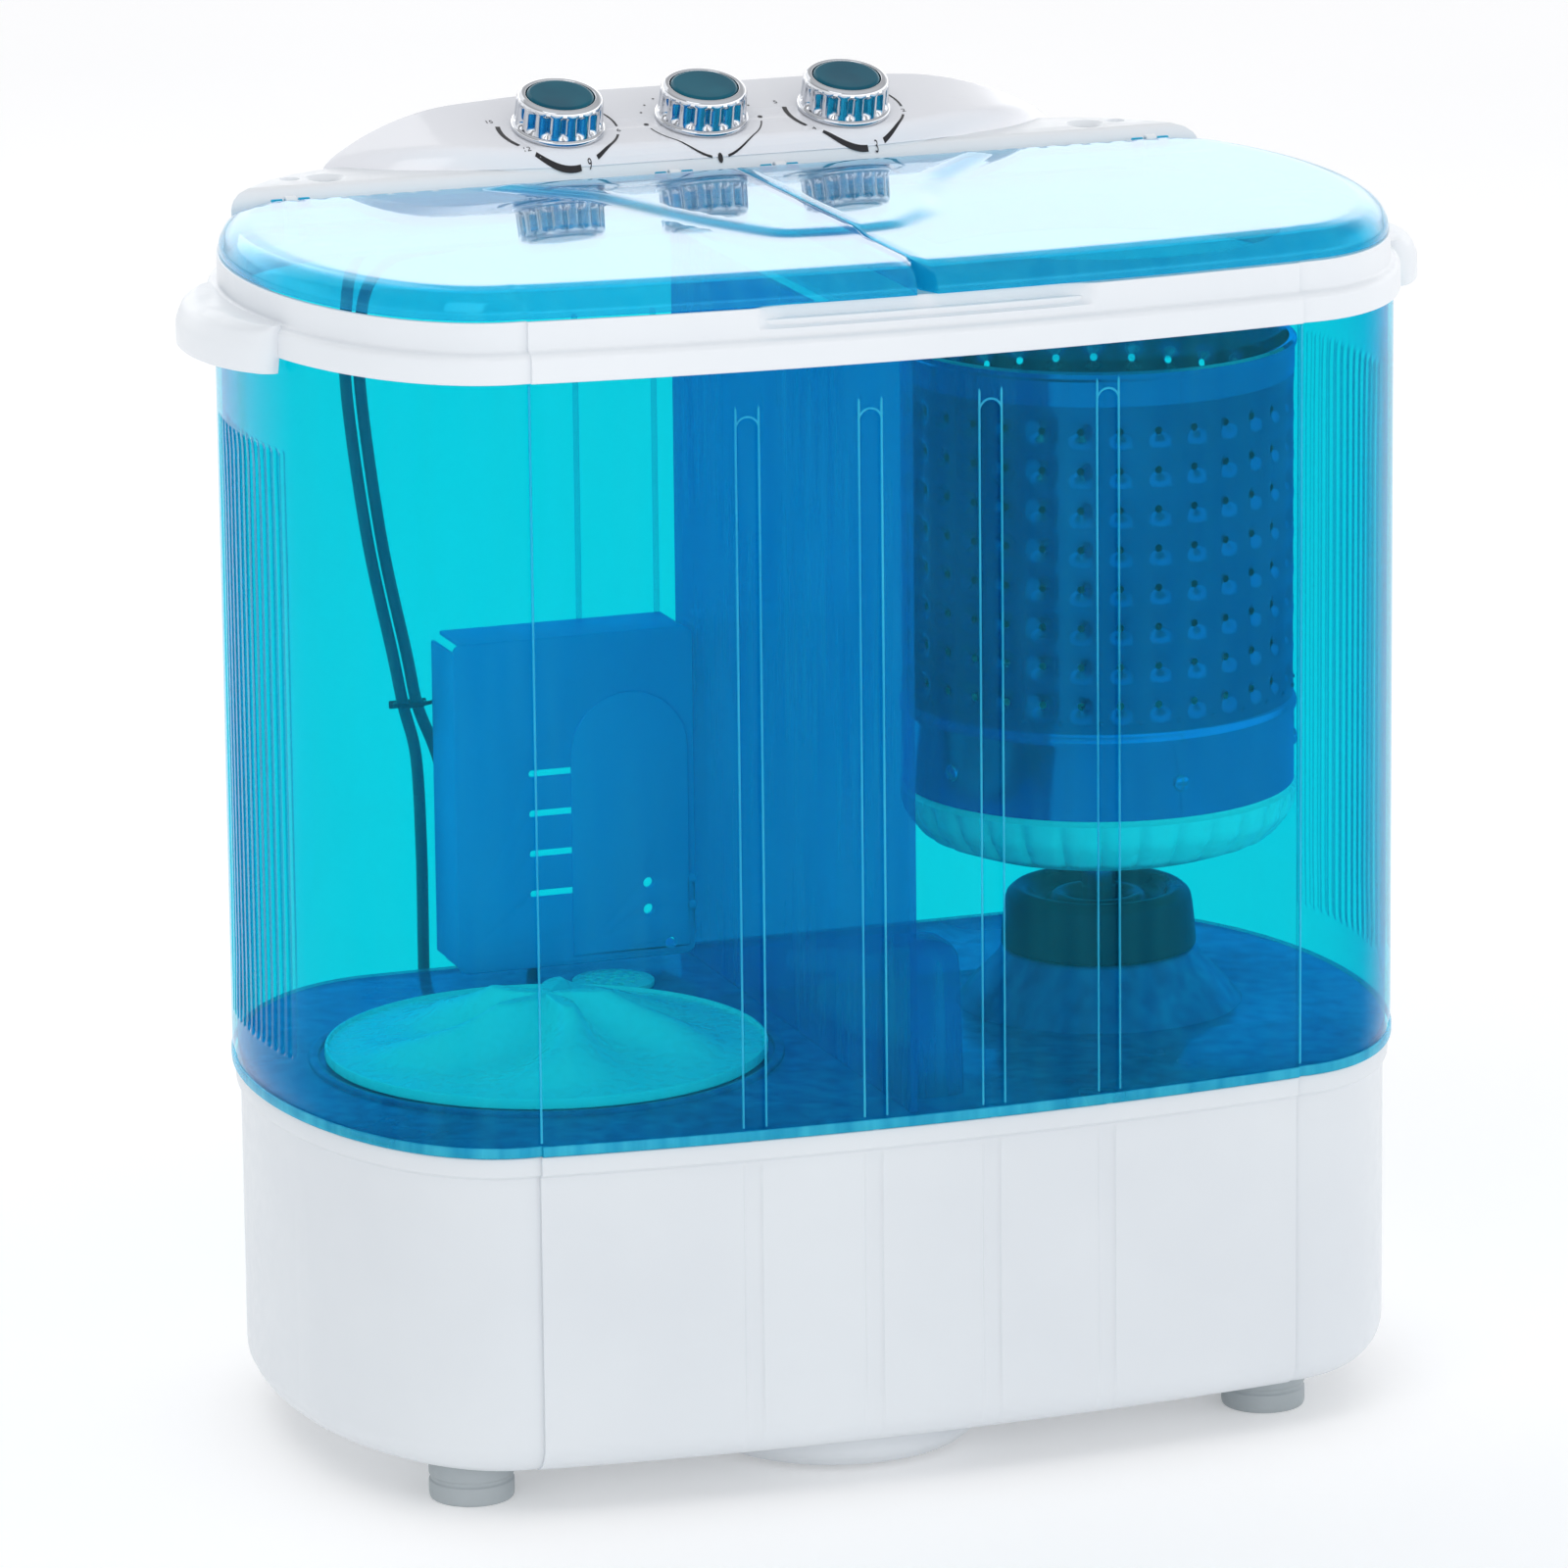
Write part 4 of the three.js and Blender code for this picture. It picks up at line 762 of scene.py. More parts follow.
def make_filter_cover():
    low, high = node_box("overflow_filter_cover")
    left, right, front = low[0], high[0], low[1]
    slots = []
    for row in range(4):
        level = 200 + 18 * row
        slots.append([(x, z) for x, z in fillet_ring(
            [(-88, level), (-64, level), (-64, level + 3), (-88, level + 3)], 1.4, 3)])
    dots = [circle(2.4, x, z, 16) for x, z in ((-34, 202), (-14, 202), (-34, 190), (-14, 190), (-24, 174))]
    outline = fillet_ring([(left, low[2]), (right, low[2]), (right, high[2]), (left, high[2])], 6, 6)
    def upright(v):
        return (v[0], front + v[2], v[1])
    face = flat_plate(
        "filter_cover_face", [outline, *slots, *dots], 0, 2.4, COVER_BLUE, 0.7, upright, slot="cover_blue",
        nodes=("overflow_filter_cover",))
    parts = [face]
    for index, (x0, x1, z0, z1) in enumerate((
            (left, left + 2, low[2] + 4, high[2] - 4), (right - 2, right, low[2] + 4, high[2] - 4),
            (left + 4, right - 4, high[2] - 2, high[2]), (left + 4, right - 4, low[2], low[2] + 2))):
        parts.append(rounded_box(
            f"filter_side_{index}", (x0, front + 1.5, z0), (x1, high[1], z1), 0.6, COVER_BLUE,
            slot="cover_blue"))
    arch = [(-68, 172), (-14, 172), (-14, 262)]
    arch += [(-41 + 27 * math.cos(t), 262 + 27 * math.sin(t)) for t in np.linspace(0, math.pi, 17)]
    def proud(v):
        return (v[0], front - 1.2 + v[2], v[1])
    parts.append(flat_plate(
        "filter_arch", [[(x - 1, z) for x, z in arch], *[[(x, z) for x, z in d] for d in dots],
                        ], 0, 1.4, COVER_BLUE, 0.5, proud, slot="cover_blue"))
    joined("filter_cover", parts)


def make_grate():
    low, high = node_box("drain_grate")
    x, y = (low[0] + high[0]) / 2, (low[1] + high[1]) / 2
    radius = (high[0] - low[0]) / 2
    holes = [circle(1.5, x, y, 10)]
    for ring, count in ((6, 6), (11, 12)):
        for k in range(count):
            turn = 2 * math.pi * k / count
            holes.append(circle(1.5, x + ring * math.cos(turn), y + ring * math.sin(turn), 10))
    def domed(v):
        reach = min(1.0, math.hypot(v[0] - x, v[1] - y) / radius)
        return (v[0], v[1], v[2] + 1.2 * (1 - reach ** 2))
    flat_plate("grate", [circle(radius, x, y, 64), *holes], low[2], high[2] - 1.3, INNER_WHITE, 0.4, domed,
               slot="inner_white", nodes=("drain_grate",))


# ---- Top frame ----

def make_rim():
    low, step = RIM_LOW, RIM_STEP
    rim_top = 508.2
    outer = fillet([
        (0.4, low + 1.2), (0.4, low), (RIM_BAND, low), (RIM_BAND, step - 0.2), (RIM_BAND - 1.4, step + 1.6),
        (RIM_INSET, step + 2.4), (RIM_INSET, 499.5)], 1.3, 5)
    outer += [(RIM_INSET, z) for z in np.linspace(500, rim_top - 1.4, 10)]
    inner = fillet([
        (RIM_INSET, rim_top - 1.2), (RIM_INSET, rim_top), (RIM_INSET - 2.6, rim_top),
        (RIM_INSET - 2.6, DECK + 0.2), (RIM_INSET - 2.6, DECK - 3), (0.4, low + 3)], 0.8, 4)
    def depth(kind, along, level):
        if kind != "front" or level < 499.5:
            return 0.0
        across = min(1.0, max(0.0, abs(along) - 62) / 14)
        sink = 0.5 + 0.5 * math.cos(math.pi * across)
        rise = min(1.0, (level - 499.8) / 4.5)
        return 6.2 * sink * math.sqrt(max(0.0, 1 - (1 - rise) ** 2)) if rise > 0 else 0.0
    wall_shell("rim", outer + inner, WHITE, depth, nodes=("top_frame",))


def make_deck():
    """The deck under the lids, with the wash mouth, the spin mouth and its collar, and the hinge ears."""
    flat_plate(
        "deck", [plain_outline(RIM_INSET - 2.9), wash_mouth(), circle(78.8, SPIN_X, CENTRE_Y, 96)],
        DECK - 3, DECK, WHITE, 0.6)
    collar = fillet([
        (79.2, DECK - 3.2), (79.2, 461), (80.4, 459.8), (81.6, 461), (81.6, DECK - 3.2)], 1, 4)
    lathe("spin_collar", collar, TUB, SPIN_X, CENTRE_Y, 120, ring=True, slot="tub_blue")
    skirt = fillet([
        (78.9, DECK - 0.4), (78.9, 488), (79.8, 486.8), (82.6, 488), (82.6, DECK - 3)], 1, 4)
    lathe("spin_mouth_lip", skirt, WHITE, SPIN_X, CENTRE_Y, 120, ring=True)
    ears = []
    for index, x in enumerate((-196, -24, 24, 196)):
        outline = [(93 - 3.1, DECK - 0.5), (93 + 3.1, DECK - 0.5)]
        outline += [(93 + 3.1 * math.cos(t), 519 + 3.1 * math.sin(t)) for t in np.linspace(0, math.pi, 13)]
        ears.append(flat_plate(
            f"ear_{index}", [outline, circle(1.8, 93, 519, 20)], -2.4, 2.4, WHITE, 0.4,
            lambda v, x=x: (x + v[2], v[0], v[1])))
    joined("hinge_ears", ears)


def wash_mouth():
    """The plan moved inwards, and cut off straight at the divider and in front of the panel."""
    out = []
    for x, y in plain_outline(-14, 5.0):
        here = (min(x, -26.0), min(y, 84.0))
        if here[0] == -26.0 and here[1] not in (84.0,) and out and out[-1][0] == -26.0 and y < 84.0:
            out[-1] = here if abs(here[1]) > abs(out[-1][1]) else out[-1]
            continue
        if not out or math.dist(here, out[-1]) > 2.5:
            out.append(here)
    return fillet_ring(out, 8, 4)


def make_grip(side):
    """A hooked ledge round one end of the rim: a crescent in plan, closed at its two ends."""
    reach, steps, root = math.radians(21), 72, RIM_BAND + 0.1
    hook = fillet([
        (root - 2, 497), (12, 497), (18.4, 494.6), (21.9, 487.8), (21.9, 478), (20.6, 477.1), (19.3, 478),
        (19.3, 486), (16.4, 491.2), (11.2, 494), (root - 2, 494)], 2.4, 5)
    solid = fillet([
        (root - 2, 497), (12, 497), (18.4, 494.6), (21.9, 487.8), (21.9, 478), (20.6, 477.1), (17, 477.1),
        (12, 477.1), (6, 477.1), (root, 477.1), (root - 2, 494)], 2.4, 5)
    rows = []
    for k in range(steps + 1):
        share = -1 + 2 * k / steps
        share = math.copysign(1 - (1 - abs(share)) ** 1.5, share)
        closed = min(1.0, max(0.0, (abs(share) - 0.84) / 0.06))
        out = math.sqrt(max(0.0, 1 - share ** 2))
        row = []
        for (d0, z0), (d1, z1) in zip(hook, solid):
            distance, level = d0 + (d1 - d0) * closed, z0 + (z1 - z0) * closed
            if distance > root:
                distance = root + (distance - root) * out
            turn = share * reach
            row.append((
                side * (FRONT_FLAT + (HALF_WIDTH - FRONT_FLAT + distance) * math.cos(turn)),
                CENTRE_Y + (FRONT + distance) * math.sin(turn), level))
        rows.append(row)
    count = len(hook)
    vertices = [p for row in rows for p in row]
    faces = rows_to_faces(len(rows), count)
    faces.append(tuple(range(count)))
    faces.append(tuple((len(rows) - 1) * count + k for k in range(count))[::-1])
    name = "left" if side < 0 else "right"
    piece(f"grip_{name}", vertices, faces, WHITE, nodes=(f"carry_grip_{name}",), sharp=40)


# ---- Control panel ----

def arch_drop(x):
    """How far the panel's face falls away from its middle, square to its slope."""
    return ARCH_RATE * max(0.0, abs(x) - ARCH_START) ** ARCH_POWER


def on_panel(across, along, height):
    """A place on the sloping panel, as x, y and level: its own axes run across, up the slope and out."""
    rise = height - arch_drop(across)
    return (across,
            PANEL_Y + along * math.cos(PANEL_TILT) - rise * math.sin(PANEL_TILT),
            PANEL_Z + along * math.sin(PANEL_TILT) + rise * math.cos(PANEL_TILT))


def up_slope(x, y):
    """How far up the slope a place on the panel's face is."""
    return (y - PANEL_Y - arch_drop(x) * math.sin(PANEL_TILT)) / math.cos(PANEL_TILT)


def face_level(x, y):
    """The level of the sloping and arched face above a place."""
    return PANEL_Z + (y - PANEL_Y) * math.tan(PANEL_TILT) - arch_drop(x) / math.cos(PANEL_TILT)


def console_plan(inset=0.0):
    """The lens-shaped plan of the console, drawn in by a distance at its sides, its front and its rear."""
    half_width, rear = CONSOLE[5][0], CONSOLE[-1][1]
    half = fillet([(0, PANEL_FRONT), *CONSOLE, (0, rear)], 16, 8)[1:-1]
    wide, deep = 1 - inset / half_width, 1 - inset / (rear - CONSOLE_MIDDLE)
    side = [(x * wide, CONSOLE_MIDDLE + (y - CONSOLE_MIDDLE) * deep) for x, y in half]
    return side + [(-x, y) for x, y in side[::-1]]


FRONT_EDGE = np.array(sorted(p for p in console_plan() if p[1] < 139.5))


def roll(x, y):
    """How far the console's face has rolled down at a place near its front."""
    starts, along = FRONT_EDGE[:-1], np.diff(FRONT_EDGE, axis=0)
    share = (((x, y) - starts) * along).sum(axis=1) / (along ** 2).sum(axis=1)
    nearest = starts + along * np.clip(share, 0, 1)[:, None]
    gap = float(np.hypot(nearest[:, 0] - x, nearest[:, 1] - y).min())
    if y < FRONT_EDGE[:, 1].min():
        gap = 0.0
    return max(0.0, face_level(x, y) - FRONT_LIP) * max(0.0, 1 - gap / ROLL_WIDTH) ** ROLL_POWER


def on_face(across, along, height):
    """A place on the panel's face, or a height above it, rolled over with it at the front."""
    x, y, level = on_panel(across, along, height)
    return x, y, level - roll(x, y)


def make_console():
    """The arched console: rolled over along its front, with a tighter edge behind."""
    plan = console_plan()
    reach = plan[0][0]
    ring = plan + [(x, PANEL_FRONT) for x in np.linspace(-reach, reach, 24)[1:-1]]
    shares = (
        1, 0.996, 0.99, 0.98, 0.968, 0.954, 0.938, 0.92, 0.9, 0.875, 0.85, 0.82, 0.78, 0.72, 0.62, 0.45,
        0.25, 0.02)
    rows = [[(x, y, 509.0) for x, y in ring]]
    for share in shares:
        row = []
        for x, y in ring:
            here = (x * share, CONSOLE_MIDDLE + (y - CONSOLE_MIDDLE) * share)
            level = face_level(*here) - SKIN - roll(*here)
            if y > 140:
                level -= 2.2 * max(0.0, (share - 0.95) / 0.05) ** 3
            row.append((*here, level))
        rows.append(row)
    vertices = [p for row in rows for p in row]
    count = len(ring)
    faces = rows_to_faces(len(rows), count)
    faces.append(tuple((len(rows) - 1) * count + k for k in range(count)))
    faces.append(tuple(range(count))[::-1])
    piece("console", vertices, faces, WHITE, nodes=("control_panel",), sharp=50)


def cut_off(ring, line):
    """An open run of places with those in front of a line moved to where the run crosses it."""
    for _ in range(2):
        k = next(k for k, place in enumerate(ring) if place[1] >= line)
        (x0, y0, level), (x1, y1, _) = ring[k - 1], ring[k]
        x = x0 + (x1 - x0) * (line - y0) / (y1 - y0)
        ring = ([(x, line, level)] * k + ring[k:])[::-1]
    return ring


def make_shoulders():
    """The low shelf that the console rises from, with a screw seat and a small recess each side."""
    keep = [row for row in PLAN if row[1] > PANEL_FRONT - 8]
    start = max(range(len(keep)), key=lambda k: math.dist(keep[k - 1][:2], keep[k][:2]))
    keep = keep[start:] + keep[:start]
    keep = [row for k, row in enumerate(keep) if k % 3 == 0 or k == len(keep) - 1]
    rows = []
    for offset, level, lead in (
            (-2, 508.6, 0), (-2, 517, 0), (-2.1, 518.6, 0.3), (-2.5, 520.6, 1.5), (-3.8, 522.9, 4),
            (-6, 524.4, 7.5), (-9.5, SHOULDER, 13)):
        ring = [(x + nx * offset, y + ny * offset, level) for x, y, nx, ny, _, _ in keep]
        rows.append(cut_off(ring, PANEL_FRONT + lead))
    count = len(rows[0])
    vertices = [p for row in rows for p in row]
    faces = rows_to_faces(len(rows), count)
    faces.append(tuple((len(rows) - 1) * count + k for k in range(count)))
    faces.append(tuple(range(count))[::-1])
    shelf = piece("shoulders", vertices, faces, WHITE, sharp=40)
    cutters = []
    for name in ("left", "right"):
        low, high = node_box(f"panel_screw_{name}")
        x, y = (low[0] + high[0]) / 2, (low[1] + high[1]) / 2
        outward = math.copysign(1, x)
        bowl = fillet([(0, 518.2), (6, 518.2), (6.4, 523), (9.4, 525.6), (9.4, 532), (0, 532)], 1.6, 5)
        cutters.append(lathe("cutter_bowl", bowl, WHITE, x, y, 48))
        drop = fillet([(0, 522.2), (3, 522.4), (4.6, 525.4), (4.6, 532), (0, 532)], 1.2, 5)
        cutters.append(lathe("cutter_drop", drop, WHITE, x + outward * 15, y + 2, 32))
    for cutter in cutters:
        modifier = shelf.modifiers.new("recess", "BOOLEAN")
        modifier.operation = "DIFFERENCE"
        modifier.object = cutter
        modifier.solver = "EXACT"
    bpy.context.view_layer.update()
    cut = bpy.data.meshes.new_from_object(shelf.evaluated_get(bpy.context.evaluated_depsgraph_get()))
    shelf.modifiers.clear()
    shelf.data = cut
    cut.set_sharp_from_angle(angle=math.radians(40))
    for cutter in cutters:
        bpy.data.objects.remove(cutter)


def make_panel_screw(node):
    low, high = node_box(node)
    x, y = (low[0] + high[0]) / 2, (low[1] + high[1]) / 2
    cross_screw(node + "_head", (x, y, 518.3), (0, 0, 1), 4.5, node, "cabinet")


def cross_screw(name, seat, axis, radius, node, body):
    """A pan-head screw with a cross recess, looking along an axis."""
    segments = 48
    def dish(r, z, turn):
        arm = min(abs(math.sin(turn)), abs(math.cos(turn))) * r
        sunk = max(0.0, 1 - arm / 0.55) if r < radius * 0.62 else 0.0
        return r, z - 1.1 * min(1.0, sunk * 1.6)
    profile = [
        (0, -8), (radius * 0.45, -8), (radius * 0.45, 0), (radius, 0), (radius, 0.5),
        (radius * 0.94, 1.1)]
    profile += [(radius * s, 1.1 + 1.0 * (1 - s ** 2)) for s in np.linspace(0.88, 0.03, 14)]
    profile.append((0, 2.1))
    points = []
    direction = Vector(axis).normalized()
    turn_to = Vector((0, 0, 1)).rotation_difference(direction).to_matrix()
    for r, z in profile:
        for k in range(segments):
            turn = 2 * math.pi * k / segments
            reach, height = dish(r, z, turn) if z > 0.9 else (r, z)
            local = Vector((reach * math.cos(turn), reach * math.sin(turn), height))
            points.append(tuple(Vector(seat) + turn_to @ local))
    faces = rows_to_faces(len(profile), segments)
    return piece(name, points, faces, BRIGHT_STEEL, body=body, slot="steel", nodes=(node,), sharp=38)


def make_overlay():
    """The printed sheet on the console's face, bent to its arch."""
    outline = [(x, up_slope(x, y)) for x, y in console_plan(2.6)]
    holes = [circle(5, x, 0, 24) for x in (-KNOB_SPACING, 0, KNOB_SPACING)]
    sheet = flat_plate("overlay", [outline, *holes], -0.8, 0, OVERLAY, 0.3, slot="panel_overlay",
                       nodes=("panel_overlay",))
    work = bmesh.new()
    work.from_mesh(sheet.data)
    cuts = [((x * MM, 0, 0), (1, 0, 0)) for x in range(-165, 170, 5) if abs(x) > 60]
    cuts += [((0, up_slope(0, y) * MM, 0), (0, 1, 0)) for y in np.arange(101.5, 140, 1.5)]
    for place, square in cuts:
        bmesh.ops.bisect_plane(
            work, geom=work.verts[:] + work.edges[:] + work.faces[:], plane_co=place, plane_no=square)
    for vertex in work.verts:
        vertex.co = Vector(on_face(*(vertex.co / MM))) * MM
    work.to_mesh(sheet.data)
    work.free()
    sheet.data.set_sharp_from_angle(angle=math.radians(40))


def make_dials():
    """The printed scales: tapering arcs, dots and numerals round each knob."""
    marks = []

    def ribbon(name, x, start, end, wide_start, wide_end, steps=14):
        rows = []
        for k in range(steps + 1):
            share = k / steps
            turn = math.radians(start + (end - start) * share)
            half = (wide_start + (wide_end - wide_start) * share) / 2
            for r in (SCALE_RADIUS - half, SCALE_RADIUS + half):
                rows.append(on_face(x + r * math.cos(turn), r * math.sin(turn), MARK_HEIGHT))
        faces = rows_to_faces(steps + 1, 2, wrap_columns=False)
        marks.append(piece(name, rows, faces, INK, slot="panel_overlay", flip=False))

    def numeral(text, x, radius, angle):
        curve = bpy.data.curves.new(f"numeral_{text}_{x}", "FONT")
        curve.body = text
        curve.size = 3.9 * MM
        curve.align_x = "CENTER"
        curve.align_y = "CENTER"
        scratch = bpy.data.objects.new("numeral", curve)
        bpy.context.scene.collection.objects.link(scratch)
        mesh = bpy.data.meshes.new_from_object(
            scratch.evaluated_get(bpy.context.evaluated_depsgraph_get()))
        bpy.data.objects.remove(scratch)
        turn = math.radians(angle)
        centre = (x + radius * math.cos(turn), radius * math.sin(turn))
        for vertex in mesh.vertices:
            local = vertex.co / MM
            vertex.co = Vector(on_face(centre[0] + local[0], centre[1] + local[1], MARK_HEIGHT)) * MM
        marks.append(dress(mesh, f"numeral_{text}_{int(x)}", INK, "cabinet", "panel_overlay"))

    def spot(name, angle, radius, sides):
        turn = math.radians(angle)
        across, along = SCALE_RADIUS * math.cos(turn), SCALE_RADIUS * math.sin(turn)
        rim = [on_face(across + x, along + y, MARK_HEIGHT) for x, y in circle(radius, 0, 0, sides)]
        marks.append(piece(name, rim, [tuple(range(sides))], INK, slot="panel_overlay", flip=False))

    sweeps = [(-KNOB_SPACING, ("15", "12", "9", "6", "3")), (KNOB_SPACING, ("5", "4", "3", "2", "1"))]
    for x, numbers in sweeps:
        for k, number in enumerate(numbers):
            angle = 160 + 62 * k
            numeral(number, x, 26.4 if k else 29.8, angle)
            ribbon(f"scale_{int(x)}_{k}", x, angle + 9, angle + 53, 2.1 - 0.35 * k, 1.75 - 0.35 * k)
    ribbon("scale_mid_left", 0, 195, 262, 0.6, 0.6)
    ribbon("scale_mid_right", 0, 278, 345, 0.6, 0.6)
    for angle in (186, 270, 354):
        spot(f"dot_{angle}", angle, 1.1, 16)
    for k in range(9):
        spot(f"tick_{k}", 20 + 17.5 * k, 0.55, 10)
    joined("dial_marks", marks)


def make_knob(kind, x):
    """A plated knob: a thick flange, a fluted grip and a rim round its clear cap."""
    flutes, segments = 16, 192

    def grip(radius, height, turn):
        """Scallops the grip between its flange and its top rim."""
        if not (3.2 < height < 13.6 and radius > 15):
            return radius
        wave = abs(math.cos(flutes * turn / 2))
        fade = min(1.0, (height - 3.2) / 1.6, (13.6 - height) / 1.2)
        return radius - 2.3 * (1 - wave) ** 1.4 * max(0.0, fade)

    levels = np.linspace(3.0, 13.8, 16)
    profile = fillet([(0, -8), (3, -8), (3, 0.3), (20.5, 0.3), (20.5, 2.2), (19.2, 2.9)], 0.8, 4)
    profile += [(19.4 - 0.05 * (z - 3), z) for z in levels]
    profile += fillet([
        (18.7, 14.0), (18.1, 15.3), (16.7, 15.9), (15.1, 15.9), (15.0, 14.2), (0, 14.2)], 0.5, 4)[1:]
    points = []
    for radius, height in profile:
        for k in range(segments):
            turn = 2 * math.pi * k / segments
            reach = grip(radius, height, turn)
            points.append(on_panel(x + reach * math.cos(turn), reach * math.sin(turn), height))
    faces = rows_to_faces(len(profile), segments)
    piece(f"{kind}_grip", points, faces, CHROME, body=kind, slot="knob_chrome", nodes=(f"{kind}_knob",),
          sharp=50)

    cap_profile = fillet([
        (0, 14.35), (14.6, 14.35), (14.6, 15.7), (13.4, 16.35), (7, 16.2), (0, 16.1)], 0.7, 5)
    points = []
    for radius, height in cap_profile:
        for k in range(72):
            turn = 2 * math.pi * k / 72
            points.append(on_panel(x + radius * math.cos(turn), radius * math.sin(turn), height))
    piece(f"{kind}_lens", points, rows_to_faces(len(cap_profile), 72), CAP, body=kind, slot="cap_teal",
          nodes=(f"{kind}_cap",), sharp=60)
    pointer = []
    for radius, height in ((0, 16.22), (0.9, 16.22), (1.0, 16.0), (0, 15.8)):
        for k in range(16):
            turn = 2 * math.pi * k / 16
            pointer.append(on_panel(x + radius * math.cos(turn), 10.6 + radius * math.sin(turn), height))
    piece(f"{kind}_pointer", pointer, rows_to_faces(4, 16), CHROME, body=kind, slot="knob_chrome")


# ---- Lids ----

def wave_front(x):
    """Where the step across both lids runs: its tongue reaches forward in the middle."""
    across = (-126.5, -113.7, -74.8, -69.6, -54.5, -47.3, -36.4, -31.9, -7.1, 19.0, 42.9, 55.5, 72.9, 121.1)
    back = (95.3, 84.7, 40.2, 20.4, -28.3, -43.6, -67.8, -72.1, -75.2, -69.0, -44.4, -7.0, 29.3, 90.6)
    return float(np.interp(x, across, back, left=150, right=150))


def smooth_wave():
    """The step's line as evenly rounded points."""
    places = np.array([(x, min(112.0, wave_front(x))) for x in np.arange(-126.5, 121.2, 0.6)])
    weights = np.exp(-(np.arange(-24, 25) / 9.0) ** 2)
    weights /= weights.sum()
    padded = np.pad(places, ((24, 24), (0, 0)), "edge")
    return np.array([np.convolve(padded[:, k], weights, "valid") for k in (0, 1)]).T[::2]


WAVE = smooth_wave()


def wave_rise(x, y):
    """How far the lids' top stands up behind the step at one place."""
    gap = float(np.hypot(WAVE[:, 0] - x, WAVE[:, 1] - y).min())
    inside = y > float(np.interp(x, WAVE[:, 0], WAVE[:, 1], left=150, right=150))
    share = min(1.0, max(0.0, (gap if inside else -gap) / 11 + 0.5))
    fade = min(1.0, max(0.0, (88 - y) / 10))
    return 2.2 * share * share * (3 - 2 * share) * fade


def lid_ring(columns, side, offset, seam, rear, level):
    """One closed ring of a lid: round its outer edge, then along its rear edge and back along the seam."""
    ring = []
    for x, y, nx, ny in columns:
        across, back = (x + nx * offset) * side, y + ny * offset
        ring.append((side * max(seam, across), min(rear, back), level))
    front = ring[0][1]
    edge = ring[-1][0]
    ring += [(edge + (side * seam - edge) * t, rear, level) for t in np.linspace(0, 1, 22)[1:]]
    ring += [(side * seam, rear + (front - rear) * t, level) for t in np.linspace(0, 1, 24)[1:-1]]
    return ring


def lid_cap(ring, level, spacing=4.0):
    """Points that fill a ring, fine along the step, and the triangles between them."""
    outline = [(p[0], p[1]) for p in ring]
    xs, ys = [p[0] for p in outline], [p[1] for p in outline]
    inner = []
    for x in np.arange(min(xs) + spacing, max(xs), spacing):
        for y in np.arange(min(ys) + spacing, max(ys), spacing):
            if np.hypot(WAVE[:, 0] - x, WAVE[:, 1] - y).min() > 7:
                inner.append((x, y))
    directions = np.gradient(WAVE, axis=0)
    directions /= np.linalg.norm(directions, axis=1)[:, None]
    for (x, y), (dx, dy) in zip(WAVE, directions):
        for away in (-5.6, -3.6, -1.8, 0, 1.8, 3.6, 5.6):
            inner.append((x - dy * away, y + dx * away))
    gap = 1.6
    kept = [p for p in inner if within(p, outline) and min(math.dist(p, q) for q in outline) > gap]
    points = outline + kept
    edges = [(k, (k + 1) % len(outline)) for k in range(len(outline))]
    found = delaunay_2d_cdt([Vector(p) for p in points], edges, [], 1, 1e-4)
    return [(v.x, v.y, level) for v in found[0]], found[2]


def within(point, outline):
    x, y = point
    inside = False
    for (x0, y0), (x1, y1) in zip(outline, outline[1:] + outline[:1]):
        if (y0 > y) != (y1 > y) and x < (x1 - x0) * (y - y0) / (y1 - y0) + x0:
            inside = not inside
    return inside


